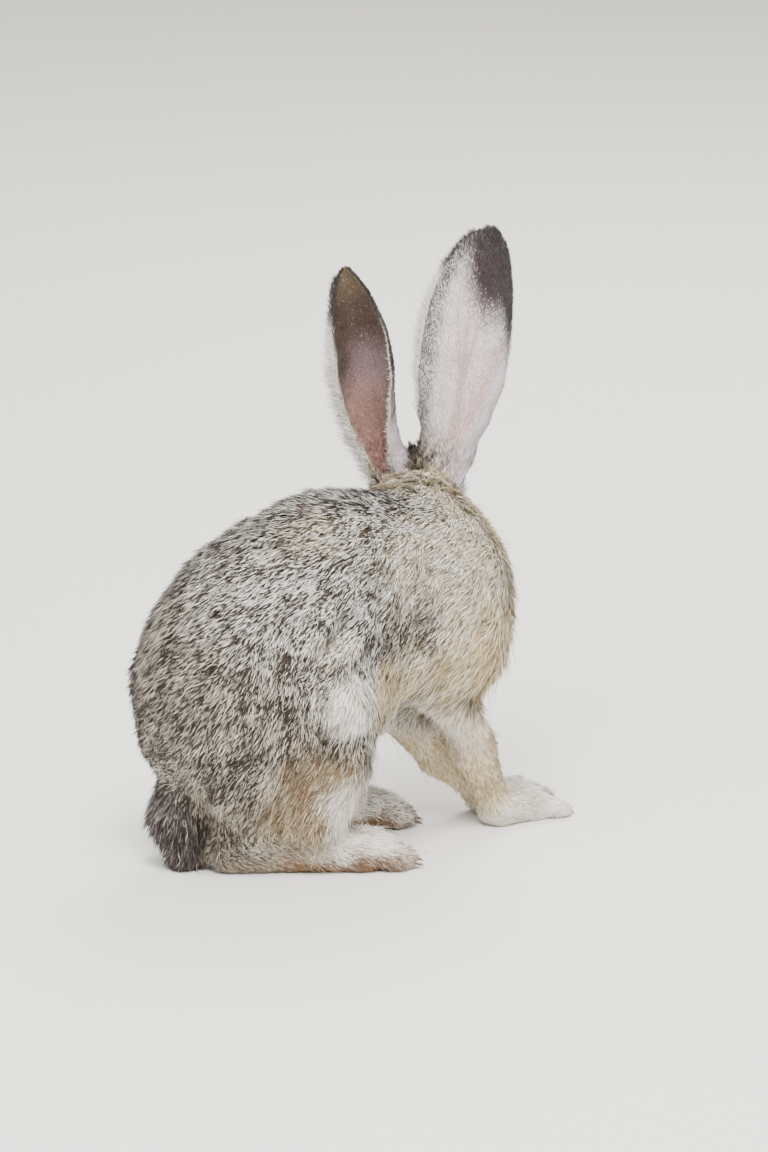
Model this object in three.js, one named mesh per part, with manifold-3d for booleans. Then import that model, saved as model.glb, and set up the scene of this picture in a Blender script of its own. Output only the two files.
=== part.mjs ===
// A black-tailed jackrabbit, life size, sitting on its haunches with its head turned away to its left.
// Millimetres. +X is where the hindquarters point, +Y is the hare's left and +Z is up.
// The body is one smooth field of eggs and limbs, out to the tips of the coat, parted with thin cuts.

import * as THREE from 'three';
import { mergeVertices } from 'three/addons/utils/BufferGeometryUtils.js';
import Module from 'manifold-3d';

const wasm = await Module();
wasm.setup();

const v = (x, y, z) => new THREE.Vector3(x, y, z);
const rad = THREE.MathUtils.degToRad;
const { lerp, clamp, smoothstep } = THREE.MathUtils;

// Driving dimensions
const GAP = 0.3; // between nodes that touch
const HUGE = 400; // a cutter's reach where it has to clear the whole body
const BODY_STEP = 11.3; // grid steps of the surfaces, finer where the form is
const LIMB_STEP = 9;
const FOOT_STEP = 6.1;
const SOLE_STEP = 7.2;
const HEAD_STEP = 5.1;

// The trunk, from the rump to the shoulders, where the spine has bent to the hare's left
const RUMP = { at: v(-46, 1, 108), radii: v(78, 57, 87) };
const LOIN = { at: v(-14, 2, 144), radii: v(74, 49, 75) };
const CHEST = { at: v(74, 13, 142), radii: v(46, 36, 60) };
const WITHERS = { from: v(10, 4, 182), to: v(58, 17, 181), radii: [39, 37] };
const NECK = { from: v(70, 20, 172), to: v(72, 44, 192), radii: [35, 25] };
const SHOULDER_YAW = rad(32);
const BRISKET = { from: v(78, 12, 98), to: v(56, 36, 94), radius: 16 }; // between the elbows
const TRUNK_BLEND = 26;
const LEG_BLEND = 16;
const ARM_BLEND = 9;
const ARM_PARTING = 26; // between the forelegs, under the chest
const FOOT_BLEND = 6;

// The legs of each side: the left hind foot stands ahead of the right one
const HIND_LEGS = {
  right: { side: -1, knee: v(-9, -45, 103), hip: v(-46, -37, 94), shin: v(-12, -41, 64),
    hock: v(-67, -20, 18), ball: v(4, -42, 12), toes: v(38, -41, 0) },
  left: { side: 1, knee: v(20, 46, 100), hip: v(-28, 38, 92), shin: v(22, 42, 58),
    hock: v(-38, 23, 18), ball: v(34, 41, 12), toes: v(68, 42, 0) },
};
const HAUNCH_RADII = v(57, 28, 66);
const SHANK_REACH = 24; // ahead of the shin, where the lower leg is parted from the elbow
const HEEL_HEIGHT = 24; // the level where the leg stands on its long hind foot
const FORELEGS = {
  right: { side: -1, shoulder: v(94, -8, 146), elbow: v(79, 8, 94), middle: v(97, 13, 52),
    wrist: v(112, 17, 18), heel: v(115, 18, 9), toes: v(164, 29, 0), elbowCut: 78 },
  left: { side: 1, shoulder: v(60, 40, 138), elbow: v(52, 40, 79), middle: v(86, 42, 41),
    wrist: v(112, 46, 18), heel: v(117, 47, 9), toes: v(164, 63, 0), elbowCut: 68 },
};
const TAIL_CLEARANCE = 0.9; // round the tail, where both surfaces are curved
const TAIL = { root: v(-98, 1, 62), middle: v(-99, -2, 34), tip: v(-94, -5, 11.5), radii: [12, 15, 13] };

// The head, in a frame of its own: +X to the nose, +Y to its left, +Z to the crown
const HEAD_AT = v(81, 68, 181);
const HEAD_YAW = rad(70);
const HEAD_PITCH = rad(30);
const HEAD_BACK = -34; // where the head is parted from the neck
const HEAD_TUNNEL = { length: 130, halfWidth: 36, halfHeight: 40, rise: 11 };
const EYE = { at: v(13, 17.2, 9.5), radius: 10, opening: 8.3, lid: 1.5 };
const MOUTH = { front: new THREE.Vector2(64, -9), bend: new THREE.Vector2(50, -9.5),
  corner: new THREE.Vector2(33, -15), width: 1.3, depth: 2.2 };
const NOSTRIL = v(62, 3.8, 3.5);
const EAR_ROOT = v(-19, 14.5, 24);
const EAR_STUB_RADIUS = 12;

// Each ear's own curve: how far its axis leans, where its cup faces and how tightly it is curled
const EAR_HALF_WIDTH = 31; // across the skin from its middle to its margin
const EAR_BASE_HALF_WIDTH = 29;
const EAR_WIDEST = 0.43; // the share of the way to its tip
const EAR_STOPS = [0, 0.12, 0.24, 0.4, 0.58, 0.8, 1];
const EAR_THICKNESS = 2.3;
const EARS = {
  right: { side: -1, tip: v(121, 49, 369), faces: v(0.3, 0.95, 0),
    curl: [290, 212, 155, 116, 105, 96, 70], sway: 1.5 },
  left: { side: 1, tip: v(16.4, 21.7, 349), faces: v(-0.55, -0.84, 0),
    curl: [300, 290, 262, 228, 200, 176, 140], sway: 3 },
};

// Distances from a point to a form, below zero inside it
const scratch = v(0, 0, 0);
const offset = v(0, 0, 0);

function egg(at, radii, yaw = 0, pitch = 0) {
  const turn = new THREE.Quaternion().setFromEuler(new THREE.Euler(0, pitch, yaw, 'ZYX')).invert();
  return (p) => {
    scratch.copy(p).sub(at).applyQuaternion(turn).divide(radii);
    const reach = scratch.length();
    const slope = scratch.divide(radii).length();
    return slope > 0 ? (reach * (reach - 1)) / slope : -Math.min(radii.x, radii.y, radii.z);
  };
}

function limb(from, to, startRadius, endRadius) {
  const axis = to.clone().sub(from);
  const lengthSquared = axis.lengthSq();
  return (p) => {
    scratch.copy(p).sub(from);
    const along = clamp(scratch.dot(axis) / lengthSquared, 0, 1);
    return scratch.addScaledVector(axis, -along).length() - lerp(startRadius, endRadius, along);
  };
}

function blended(softness, forms) {
  return (p) => {
    let distance = Infinity;
    for (const form of forms) {
      const other = form(p);
      const overlap = Math.max(softness - Math.abs(distance - other), 0);
      distance = Math.min(distance, other) - (overlap * overlap) / (4 * softness);
    }
    return distance;
  };
}

const framed = (matrix, form) => {
  const inverse = matrix.clone().invert();
  const local = v(0, 0, 0);
  return (p) => form(local.copy(p).applyMatrix4(inverse));
};

// Moves a point onto the field's surface, by less than half a grid step
function drawnOnto(field, point, step) {
  const nudge = 0.05 * step;
  for (let round = 0; round < 2; round++) {
    const here = field(point);
    const slope = v(0, 0, 0);
    for (let axis = 0; axis < 3; axis++) {
      offset.copy(point).setComponent(axis, point.getComponent(axis) + nudge);
      slope.setComponent(axis, (field(offset) - here) / nudge);
    }
    const squared = Math.max(slope.lengthSq(), 0.2);
    point.addScaledVector(slope.multiplyScalar(clamp(-here / squared, -0.25 * step, 0.25 * step)), 1);
  }
}

// The surface of a field inside a box: a vertex in each cell that it crosses, a quad round each crossed edge
function surfaceOf(field, low, high, step) {
  const count = [0, 1, 2].map((i) => Math.ceil((high.getComponent(i) - low.getComponent(i)) / step) + 1);
  const [nx, ny, nz] = count;
  const at = (i, j, k) => i + nx * (j + ny * k);
  const value = new Float64Array(nx * ny * nz);
  for (let k = 0; k < nz; k++) {
    for (let j = 0; j < ny; j++) {
      for (let i = 0; i < nx; i++) {
        const rim = i === 0 || j === 0 || k === 0 || i === nx - 1 || j === ny - 1 || k === nz - 1;
        offset.set(low.x + i * step, low.y + j * step, low.z + k * step);
        value[at(i, j, k)] = rim ? Math.max(field(offset), step) : field(offset);
      }
    }
  }

  const vertexOf = new Int32Array(value.length).fill(-1);
  const positions = [];
  for (let k = 0; k < nz - 1; k++) {
    for (let j = 0; j < ny - 1; j++) {
      for (let i = 0; i < nx - 1; i++) {
        const sum = v(0, 0, 0);
        let crossings = 0;
        for (let axis = 0; axis < 3; axis++) {
          for (let corner = 0; corner < 4; corner++) {
            const start = [i, j, k];
            start[(axis + 1) % 3] += corner & 1;
            start[(axis + 2) % 3] += corner >> 1;
            const end = [...start];
            end[axis] += 1;
            const a = value[at(...start)];
            const b = value[at(...end)];
            if ((a < 0) === (b < 0)) continue;
            start[axis] += a / (a - b);
            sum.add(offset.fromArray(start));
            crossings += 1;
          }
        }
        if (crossings === 0) continue;
        vertexOf[at(i, j, k)] = positions.length / 3;
        drawnOnto(field, sum.multiplyScalar(step / crossings).add(low), step);
        positions.push(sum.x, sum.y, sum.z);
      }
    }
  }

  const faces = [];
  for (let k = 0; k < nz - 1; k++) {
    for (let j = 0; j < ny - 1; j++) {
      for (let i = 0; i < nx - 1; i++) {
        for (let axis = 0; axis < 3; axis++) {
          const end = [i, j, k];
          if (end[(axis + 1) % 3] === 0 || end[(axis + 2) % 3] === 0) continue;
          end[axis] += 1;
          const inside = value[at(i, j, k)] < 0;
          if (inside === (value[at(...end)] < 0)) continue;
          const ring = [[0, 0], [-1, 0], [-1, -1], [0, -1]].map(([s, t]) => {
            const cell = [i, j, k];
            cell[(axis + 1) % 3] += s;
            cell[(axis + 2) % 3] += t;
            return vertexOf[at(...cell)];
          });
          if (!inside) ring.reverse();
          const [p, q, r, s] = ring.map((index) => v(0, 0, 0).fromArray(positions, 3 * index));
          const [a, b, c, d] = ring;
          faces.push(...(p.distanceTo(r) < q.distanceTo(s) ? [a, b, c, a, c, d] : [a, b, d, b, c, d]));
        }
      }
    }
  }
  return solidOf(positions, faces);
}

// Solids, joined and cut
function solidOf(positions, faces) {
  const mesh = new wasm.Mesh({
    numProp: 3, vertProperties: Float32Array.from(positions), triVerts: Uint32Array.from(faces),
  });
  return new wasm.Manifold(mesh);
}

function solid(geometry) {
  const bare = geometry.clone();
  bare.deleteAttribute('normal');
  bare.deleteAttribute('uv');
  const merged = mergeVertices(bare, 1e-4);
  return solidOf(merged.attributes.position.array, merged.index.array);
}

function largest(shape) {
  const pieces = shape.decompose();
  return pieces.reduce((best, piece) => (piece.volume() > best.volume() ? piece : best));
}

function block(low, high) {
  const size = high.clone().sub(low);
  const middle = low.clone().addScaledVector(size, 0.5);
  return solid(new THREE.BoxGeometry(size.x, size.y, size.z).translate(middle.x, middle.y, middle.z));
}

// Everything on the far side of a plane, as a great block
function beyond(point, normal, from = 0) {
  const turn = new THREE.Quaternion().setFromUnitVectors(v(0, 0, 1), normal.clone().normalize());
  const slab = new THREE.BoxGeometry(HUGE, HUGE, HUGE).translate(0, 0, HUGE / 2 + from);
  return solid(slab.applyQuaternion(turn).translate(point.x, point.y, point.z));
}

function node(name, shape, colour, roughness = 0.9) {
  const { numProp, vertProperties, triVerts } = largest(shape).getMesh();
  if (numProp !== 3) throw new Error(`${name} carries more than positions`);
  const geometry = new THREE.BufferGeometry();
  geometry.setAttribute('position', new THREE.BufferAttribute(vertProperties, 3));
  geometry.setIndex(new THREE.BufferAttribute(triVerts, 1));
  geometry.computeVertexNormals();
  const mesh = new THREE.Mesh(geometry, new THREE.MeshStandardMaterial({ color: colour, roughness }));
  mesh.name = name;
  return mesh;
}

// Colours of the coat's regions
const GREY = 0x8f857b;
const DARK = 0x4c443f;
const CREAM = 0xd9cdb8;
const TAN = 0xb79470;
const SILVER = 0xcfc8c4;

// The trunk's forms
const trunkForms = [
  egg(RUMP.at, RUMP.radii),
  egg(LOIN.at, LOIN.radii),
  egg(CHEST.at, CHEST.radii, SHOULDER_YAW),
  limb(WITHERS.from, WITHERS.to, ...WITHERS.radii),
];
const neckForm = limb(NECK.from, NECK.to, ...NECK.radii);

function haunchForms({ hip, knee }) {
  const midThigh = hip.clone().lerp(knee, 0.45);
  return [egg(hip, HAUNCH_RADII), limb(midThigh, knee, 25, 19)];
}

function shankForms({ knee, shin, hock }) {
  const ankle = v(shin.x - 14, lerp(shin.y, hock.y, 0.3), 30);
  return [limb(knee, shin, 17, 17), limb(shin, ankle, 17, 17), limb(ankle, hock, 17, 15)];
}

// A foot: its sole, with the toes and claws joined on
function footForms({ heel, ball, toes, soleRadii }) {
  const front = ball.clone().lerp(toes, 0.45).setZ(ball.z * 0.9);
  return [limb(heel, ball, ...soleRadii), limb(ball, front, soleRadii[1], soleRadii[1] * 0.84)];
}

function toeSolids({ ball, toes, toeRadius, claw }) {
  const forward = toes.clone().sub(ball).setZ(0);
  const reach = forward.length();
  forward.normalize();
  const heading = Math.atan2(forward.y, forward.x);
  const across = v(-forward.y, forward.x, 0);
  return [-1.5, -0.5, 0.5, 1.5].map((place) => {
    const splay = -0.09 * place;
    const end = reach * (1 - 0.11 * Math.abs(place) + 0.05);
    const length = reach * 0.75;
    const toe = new THREE.SphereGeometry(1, 8, 6).rotateX(Math.PI / 2);
    toe.scale(length / 2, toeRadius, toeRadius * 1.05);
    toe.translate(-length / 2, 0, 0).rotateY(rad(9));
    const nail = new THREE.ConeGeometry(claw.radius, claw.length, 6).rotateZ(-Math.PI / 2);
    nail.translate(claw.length / 2 - 3.5, 0, 0).rotateY(rad(14));
    const at = ball.clone().addScaledVector(forward, end).addScaledVector(across, place * toeRadius * 1.3);
    const set = (shape, lift) => solid(shape.rotateZ(heading - splay).translate(at.x, at.y, lift));
    return set(toe, toeRadius * 0.86).add(set(nail, claw.radius + 2.2));
  });
}

const claws = { hind: { radius: 1.8, length: 8.5 }, fore: { radius: 1.4, length: 6.5 } };
const paw = ({ heel, toes }) => ({ heel, toes, ball: heel.clone().lerp(toes, 0.5).setZ(7.5),
  soleRadii: [10.5, 9], toeRadius: 5, claw: claws.fore });
const hindFoot = ({ hock, ball, toes }) => ({ heel: hock.clone().setX(hock.x - 4).setZ(12), toes, ball,
  soleRadii: [13, 13.4], toeRadius: 7.2, claw: claws.hind });

function forelegForms({ side, shoulder, elbow, middle, wrist }) {
  return [
    egg(shoulder, v(29, 17, 46), SHOULDER_YAW),
    limb(shoulder.clone().add(v(0, -side * 4, -22)), elbow, 20, 15),
    limb(elbow, middle, 14.5, 12),
    limb(middle, wrist, 12, 10.5),
  ];
}

// The head's forms in its own frame
const headMatrix = new THREE.Matrix4().makeRotationFromEuler(new THREE.Euler(0, HEAD_PITCH, HEAD_YAW, 'ZYX'));
headMatrix.setPosition(HEAD_AT);
const toHead = headMatrix.clone().invert();
const both = (make) => [-1, 1].flatMap(make);

function earFrame({ side, tip, faces }) {
  const root = v(EAR_ROOT.x, side * EAR_ROOT.y, EAR_ROOT.z).applyMatrix4(headMatrix);
  const axis = tip.clone().sub(root).normalize();
  const facing = faces.clone().addScaledVector(axis, -faces.dot(axis)).normalize();
  const across = axis.clone().cross(facing);
  return { root, axis, facing, across };
}

function headForms() {
  return [
    egg(v(-13, 0, 4), v(32, 23, 24)),
    limb(v(4, 0, 1), v(44, 0, -2.5), 21.5, 15),
    limb(v(-4, 0, 14), v(47, 0, 3.5), 15, 11.5),
    limb(v(-14, 0, -12), v(44, 0, -13), 15, 8.5),
    ...both((side) => [
      egg(v(-4, side * 12.5, -8), v(21, 11, 15)),
      egg(v(49, side * 7.5, -3), v(12.5, 9, 10.5)),
      egg(v(12, side * 13, 12), v(15, 9, 11)),
    ]),
    egg(v(57, 0, 2), v(6.5, 8, 8)),
  ];
}

const muzzleField = blended(8, headForms());
const headField = framed(headMatrix, muzzleField);
const earStubs = Object.values(EARS).map((ear) => {
  const { root, axis } = earFrame(ear);
  return limb(root.clone().addScaledVector(axis, -10), root.clone().addScaledVector(axis, 4),
    EAR_STUB_RADIUS + 0.5, EAR_STUB_RADIUS);
});
const headAndNeck = blended(10, [headField, ...earStubs, blended(TRUNK_BLEND, [neckForm, ...trunkForms])]);

// The trunk with the tops of its legs, its neck and the back of its head
const legTops = Object.values(HIND_LEGS).flatMap((leg) => [...haunchForms(leg), ...shankForms(leg)]);
const brisket = limb(BRISKET.from, BRISKET.to, BRISKET.radius, BRISKET.radius);
const armTops = [brisket, ...Object.values(FORELEGS).flatMap(forelegForms)];
const trunkAndLegs = blended(LEG_BLEND, [blended(TRUNK_BLEND, [...trunkForms, neckForm]), ...legTops]);
const trunk = blended(ARM_BLEND, [trunkAndLegs, ...armTops, headField, ...earStubs]);

// Cutting planes and regions
const neckBase = { at: v(68, 22, 194), normal: v(0.58, 0.56, 0.59) };
const underGround = block(v(-HUGE, -HUGE, -HUGE), v(HUGE, HUGE, 0));

// The head's own region: an oval tunnel along it, from where it leaves the neck
function headRegion(grow) {
  const tunnel = new THREE.CylinderGeometry(1, 1, HEAD_TUNNEL.length, 32).rotateZ(Math.PI / 2);
  tunnel.scale(1, HEAD_TUNNEL.halfWidth + grow, HEAD_TUNNEL.halfHeight + grow);
  tunnel.translate(HEAD_BACK - grow + HEAD_TUNNEL.length / 2, 0, HEAD_TUNNEL.rise);
  return tunnel;
}

// The room for an ear's base, a round hole along its axis
function earRoom(ear) {
  const { root, axis } = earFrame(ear);
  const turn = new THREE.Quaternion().setFromUnitVectors(v(0, 1, 0), axis);
  const room = new THREE.CylinderGeometry(EAR_STUB_RADIUS + 2, EAR_STUB_RADIUS + 2, 50, 24);
  return room.translate(0, 25, 0).applyQuaternion(turn).translate(root.x, root.y, root.z);
}

// A thigh's own region: an upright oval seen from the side, reaching outward from near the midline
function thighRegion({ side, hip, knee }, grow) {
  const oval = new THREE.CylinderGeometry(1, 1, 80, 36).scale(61 + grow, 1 + grow / 40, 68 + grow);
  return solid(oval.translate(lerp(hip.x, knee.x, 0.12), side * 62, 98));
}

// The room for each leg's lower part, above its foot
function shankRegion({ side, shin, hock }, grow) {
  const inner = side * (6 - grow);
  const outer = side * 90;
  const low = v(hock.x - 30 - grow, Math.min(inner, outer), HEEL_HEIGHT + GAP - grow);
  return block(low, v(shin.x + SHANK_REACH + grow, Math.max(inner, outer), 88 + grow));
}

// The room for each foreleg: a half of the chest's underside, and all the ground below
function armRegion({ side, elbow, elbowCut }, grow) {
  const [low, high] = side < 0 ? [-30 - grow, ARM_PARTING] : [ARM_PARTING + GAP - grow, 100];
  const upper = block(v(elbow.x - 32 - grow, low, 20), v(HUGE, high, elbowCut + grow));
  return upper.add(block(v(elbow.x - 32 - grow, -40, -20), v(HUGE, 100, 32)));
}

const hare = new THREE.Group();

// The tail lies against the rump, down to the floor
const tailForm = blended(8, [limb(TAIL.root, TAIL.middle, TAIL.radii[0], TAIL.radii[1]),
  limb(TAIL.middle, TAIL.tip, TAIL.radii[1], TAIL.radii[2])]);
const tailSurface = (grow) => surfaceOf((p) => tailForm(p) - grow, v(-124, -30, -14), v(-74, 30, 78),
  LIMB_STEP);
hare.add(node('tail', tailSurface(0).subtract(underGround), DARK));

const body = surfaceOf(trunk, v(-140, -84, -20), v(150, 110, 250), BODY_STEP);
let headRoom = solid(headRegion(GAP).applyMatrix4(headMatrix));
for (const ear of Object.values(EARS)) headRoom = headRoom.add(solid(earRoom(ear)));
const underHeels = block(v(-HUGE, -HUGE, -HUGE), v(HUGE, HUGE, HEEL_HEIGHT + GAP));
let torso = body.subtract(beyond(neckBase.at, neckBase.normal)).subtract(headRoom);
torso = torso.subtract(tailSurface(TAIL_CLEARANCE)).subtract(underHeels);
hare.add(node('neck', body.intersect(beyond(neckBase.at, neckBase.normal, GAP)).subtract(headRoom), CREAM));

for (const [name, leg] of Object.entries(HIND_LEGS)) {
  hare.add(node(`thigh_${name}`, body.intersect(thighRegion(leg, 0)), GREY));
  torso = torso.subtract(thighRegion(leg, GAP)).subtract(shankRegion(leg, GAP));

  const foot = hindFoot(leg);
  const lowerForms = [...shankForms(leg), ...footForms(foot)];
  const upper = blended(FOOT_BLEND, [trunk, ...footForms(foot)]);
  const shank = surfaceOf(upper, v(-130, -84, 0), v(110, 84, 86), LIMB_STEP);
  hare.add(node(`shank_${name}`, shank.intersect(shankRegion(leg, 0)).subtract(thighRegion(leg, GAP))
    .subtract(tailSurface(TAIL_CLEARANCE)), TAN));

  const inner = leg.side * 3;
  const outer = leg.side * 74;
  let sole = surfaceOf(blended(FOOT_BLEND, lowerForms), v(leg.hock.x - 32, Math.min(inner, outer), -20),
    v(leg.toes.x + 20, Math.max(inner, outer), 44), SOLE_STEP);
  for (const toe of toeSolids(foot)) sole = sole.add(toe);
  sole = sole.subtract(underGround).subtract(beyond(v(0, 0, HEEL_HEIGHT), v(0, 0, 1)));
  hare.add(node(`hind_foot_${name}`, sole.subtract(tailSurface(TAIL_CLEARANCE)), CREAM));
}

for (const [name, leg] of Object.entries(FORELEGS)) {
  const foot = paw(leg);
  const whole = blended(ARM_BLEND, [blended(TRUNK_BLEND, trunkForms), ...forelegForms(leg),
    blended(FOOT_BLEND, footForms(foot))]);
  const above = leg.elbowCut + 14;
  let arm = surfaceOf(whole, v(leg.elbow.x - 34, -30, -20), v(leg.toes.x + 16, 90, above), FOOT_STEP);
  for (const toe of toeSolids(foot)) arm = arm.add(toe);
  const down = leg.wrist.clone().sub(leg.middle).normalize();
  const kneeFront = HIND_LEGS[name].shin.x + SHANK_REACH + GAP;
  const behindKnee = block(v(-HUGE, leg.side < 0 ? -HUGE : ARM_PARTING, -HUGE), v(kneeFront, HUGE, HUGE));
  const region = arm.intersect(armRegion(leg, 0)).subtract(underGround).subtract(behindKnee);
  hare.add(node(`foreleg_${name}`, region.subtract(beyond(leg.wrist, down)), CREAM));
  hare.add(node(`forepaw_${name}`, region.intersect(beyond(leg.wrist, down, GAP)), CREAM));
  torso = torso.subtract(armRegion(leg, GAP));
}
hare.add(node('torso', torso, GREY));

// The head is made in its own frame, so that its two sides are alike
const headGroup = new THREE.Group();
headGroup.applyMatrix4(headMatrix);
const placed = v(0, 0, 0);
const headAndNeckHere = (p) => headAndNeck(placed.copy(p).applyMatrix4(headMatrix));
let head = surfaceOf(headAndNeckHere, v(HEAD_BACK - 10, -38, -42), v(72, 38, 50), HEAD_STEP);
head = head.intersect(solid(headRegion(0)));

for (const [name, ear] of Object.entries(EARS)) {
  head = head.subtract(solid(earRoom(ear).applyMatrix4(toHead)));
  hare.add(node(`ear_${name}`, earSolid(ear), SILVER));
}

for (const side of [-1, 1]) {
  const { lids, socket, ball } = eyeSolids(side);
  head = head.add(lids).subtract(socket);
  headGroup.add(node(side > 0 ? 'eye_left' : 'eye_right', ball, 0x2b1a10, 0.15));
}
for (const cut of [mouthLine(), ...nostrils()]) head = head.subtract(cut);
headGroup.add(node('head', head, GREY));
hare.add(headGroup);

// An eyeball, the socket it sits in and the two lids that close over its rim
function eyeSolids(side) {
  const centre = v(EYE.at.x, side * EYE.at.y, EYE.at.z);
  const gaze = v(0.24, side * 0.94, 0.22).normalize();
  const turn = new THREE.Quaternion().setFromUnitVectors(v(0, 0, 1), gaze);
  const sphere = (radius) => new THREE.SphereGeometry(radius, 14, 10).rotateX(Math.PI / 2);
  const ring = new THREE.TorusGeometry(EYE.opening, EYE.lid, 5, 16).scale(1.12, 0.92, 1);
  const set = (geometry) => solid(geometry.applyQuaternion(turn).translate(centre.x, centre.y, centre.z));
  const depth = Math.sqrt(EYE.radius ** 2 - EYE.opening ** 2);
  const socket = set(sphere(EYE.radius + GAP));
  return { ball: set(sphere(EYE.radius)), socket, lids: set(ring.translate(0, 0, depth)) };
}

// The line of the mouth, round the muzzle under the cheeks, and the cleft of the upper lip
function mouthLine() {
  const outline = new THREE.Shape();
  const { front, bend, corner, width } = MOUTH;
  outline.moveTo(front.x, front.y);
  outline.quadraticCurveTo(bend.x, bend.y, corner.x, corner.y);
  outline.quadraticCurveTo(bend.x, bend.y - width, front.x, front.y - width);
  const slit = new THREE.ExtrudeGeometry(outline, { depth: 60, bevelEnabled: false, curveSegments: 6 });
  slit.rotateX(Math.PI / 2).translate(0, 30, 0);
  const cleft = new THREE.BoxGeometry(14, 0.9, 9).rotateY(rad(-10)).translate(60, 0, -5.5);
  const core = surfaceOf((p) => muzzleField(p) + MOUTH.depth, v(20, -20, -24), v(70, 20, 18), HEAD_STEP);
  return solid(slit).add(solid(cleft)).subtract(core);
}

function nostrils() {
  return [-1, 1].map((side) => {
    const slit = new THREE.SphereGeometry(1, 8, 6).scale(3.2, 1.1, 1.9);
    slit.rotateY(rad(-25)).rotateZ(side * rad(35));
    return solid(slit.translate(NOSTRIL.x, side * NOSTRIL.y, NOSTRIL.z));
  });
}

// An ear: a cupped skin, curled to a tube at its base, thickened alike on both faces
function earSolid(ear) {
  const { root, axis, facing, across } = earFrame(ear);
  const length = ear.tip.distanceTo(root) - GAP;
  const rows = 16;
  const columns = 10;
  const positions = [];
  for (let row = 0; row <= rows; row++) {
    const along = row / rows;
    const curl = rad(eased(EAR_STOPS, ear.curl, along));
    const radius = (2 * earHalfWidth(along)) / curl;
    const middle = root.clone().addScaledVector(axis, GAP + along * length);
    middle.addScaledVector(across, -ear.sway * Math.sin(2 * Math.PI * along));
    middle.addScaledVector(facing, radius - EAR_STUB_RADIUS + 1);
    for (let column = 0; column <= columns; column++) {
      const out = (2 * column) / columns - 1;
      const angle = (out * curl) / 2;
      const thickness = EAR_THICKNESS * lerp(1, 0.6, out * out) * lerp(1, 0.6, along);
      for (const reach of [radius - thickness / 2, radius + thickness / 2]) {
        const point = middle.clone().addScaledVector(facing, -Math.cos(angle) * reach);
        point.addScaledVector(across, Math.sin(angle) * reach);
        positions.push(point.x, point.y, point.z);
      }
    }
  }
  const plug = new THREE.CylinderGeometry(EAR_STUB_RADIUS - 7, EAR_STUB_RADIUS - 1.2, 9, 16);
  const upright = new THREE.Quaternion().setFromUnitVectors(v(0, 1, 0), axis);
  plug.translate(0, 4.5 + GAP, 0).applyQuaternion(upright);
  plug.translate(root.x, root.y, root.z);
  return solidOf(positions, sheetFaces(rows, columns)).add(solid(plug));
}

// Half the width of an ear's skin, as a share of the way to its tip
function earHalfWidth(along) {
  if (along < EAR_WIDEST) return lerp(EAR_BASE_HALF_WIDTH, EAR_HALF_WIDTH, smoothstep(along, 0, EAR_WIDEST));
  const above = (along - EAR_WIDEST) / (1 - EAR_WIDEST);
  return EAR_HALF_WIDTH * Math.max(1 - above ** 2.2, 0.015) ** 0.6;
}

function eased(stops, values, at) {
  const i = Math.max(stops.findIndex((stop) => stop >= at), 1);
  return lerp(values[i - 1], values[i], smoothstep(at, stops[i - 1], stops[i]));
}

// Triangles of a thick sheet whose points come in pairs, one on each face, split alike on both
function sheetFaces(rows, columns) {
  const faces = [];
  const at = (row, column, face) => 2 * (row * (columns + 1) + column) + face;
  const quad = (a, b, c, d) => faces.push(a, b, c, a, c, d);
  for (let row = 0; row < rows; row++) {
    for (let column = 0; column < columns; column++) {
      const ring = (face) => [at(row, column, face), at(row, column + 1, face), at(row + 1, column + 1, face),
        at(row + 1, column, face)];
      const [a, b, c, d] = ring(1);
      quad(a, d, c, b);
      quad(...ring(0));
    }
    quad(at(row, 0, 0), at(row + 1, 0, 0), at(row + 1, 0, 1), at(row, 0, 1));
    quad(at(row, columns, 1), at(row + 1, columns, 1), at(row + 1, columns, 0), at(row, columns, 0));
  }
  for (let column = 0; column < columns; column++) {
    quad(at(0, column, 0), at(0, column, 1), at(0, column + 1, 1), at(0, column + 1, 0));
    quad(at(rows, column, 1), at(rows, column, 0), at(rows, column + 1, 0), at(rows, column + 1, 1));
  }
  return faces;
}

// The origin is the middle of the floor under the whole animal
hare.updateMatrixWorld(true);
const extent = new THREE.Box3().setFromObject(hare, true);
const middle = extent.getCenter(v(0, 0, 0));
hare.position.set(-middle.x, -middle.y, -extent.min.z);

export default hare;
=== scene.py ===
# A black-tailed jackrabbit in its coat, life size, sitting on a pale studio floor.
# Sizes are in millimetres until a mesh is made. The hare faces +X, its left is +Y and +Z is up.

import math

import bpy
import numpy as np
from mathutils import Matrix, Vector
from mathutils.bvhtree import BVHTree


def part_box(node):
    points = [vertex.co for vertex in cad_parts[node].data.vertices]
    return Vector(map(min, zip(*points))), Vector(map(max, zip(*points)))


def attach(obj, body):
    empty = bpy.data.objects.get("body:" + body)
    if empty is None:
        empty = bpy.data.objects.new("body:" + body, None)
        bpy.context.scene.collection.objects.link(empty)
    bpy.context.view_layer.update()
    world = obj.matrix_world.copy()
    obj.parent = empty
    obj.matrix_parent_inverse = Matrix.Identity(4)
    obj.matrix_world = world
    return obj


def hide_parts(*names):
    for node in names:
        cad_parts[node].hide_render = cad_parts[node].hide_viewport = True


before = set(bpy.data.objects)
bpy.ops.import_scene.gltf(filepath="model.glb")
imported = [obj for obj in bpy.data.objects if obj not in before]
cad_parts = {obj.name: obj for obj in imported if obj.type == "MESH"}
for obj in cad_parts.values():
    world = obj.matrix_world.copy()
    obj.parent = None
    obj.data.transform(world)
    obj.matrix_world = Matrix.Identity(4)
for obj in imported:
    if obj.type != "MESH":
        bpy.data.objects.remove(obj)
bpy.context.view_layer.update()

MM = 0.001
draw = np.random.default_rng(11)

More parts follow.
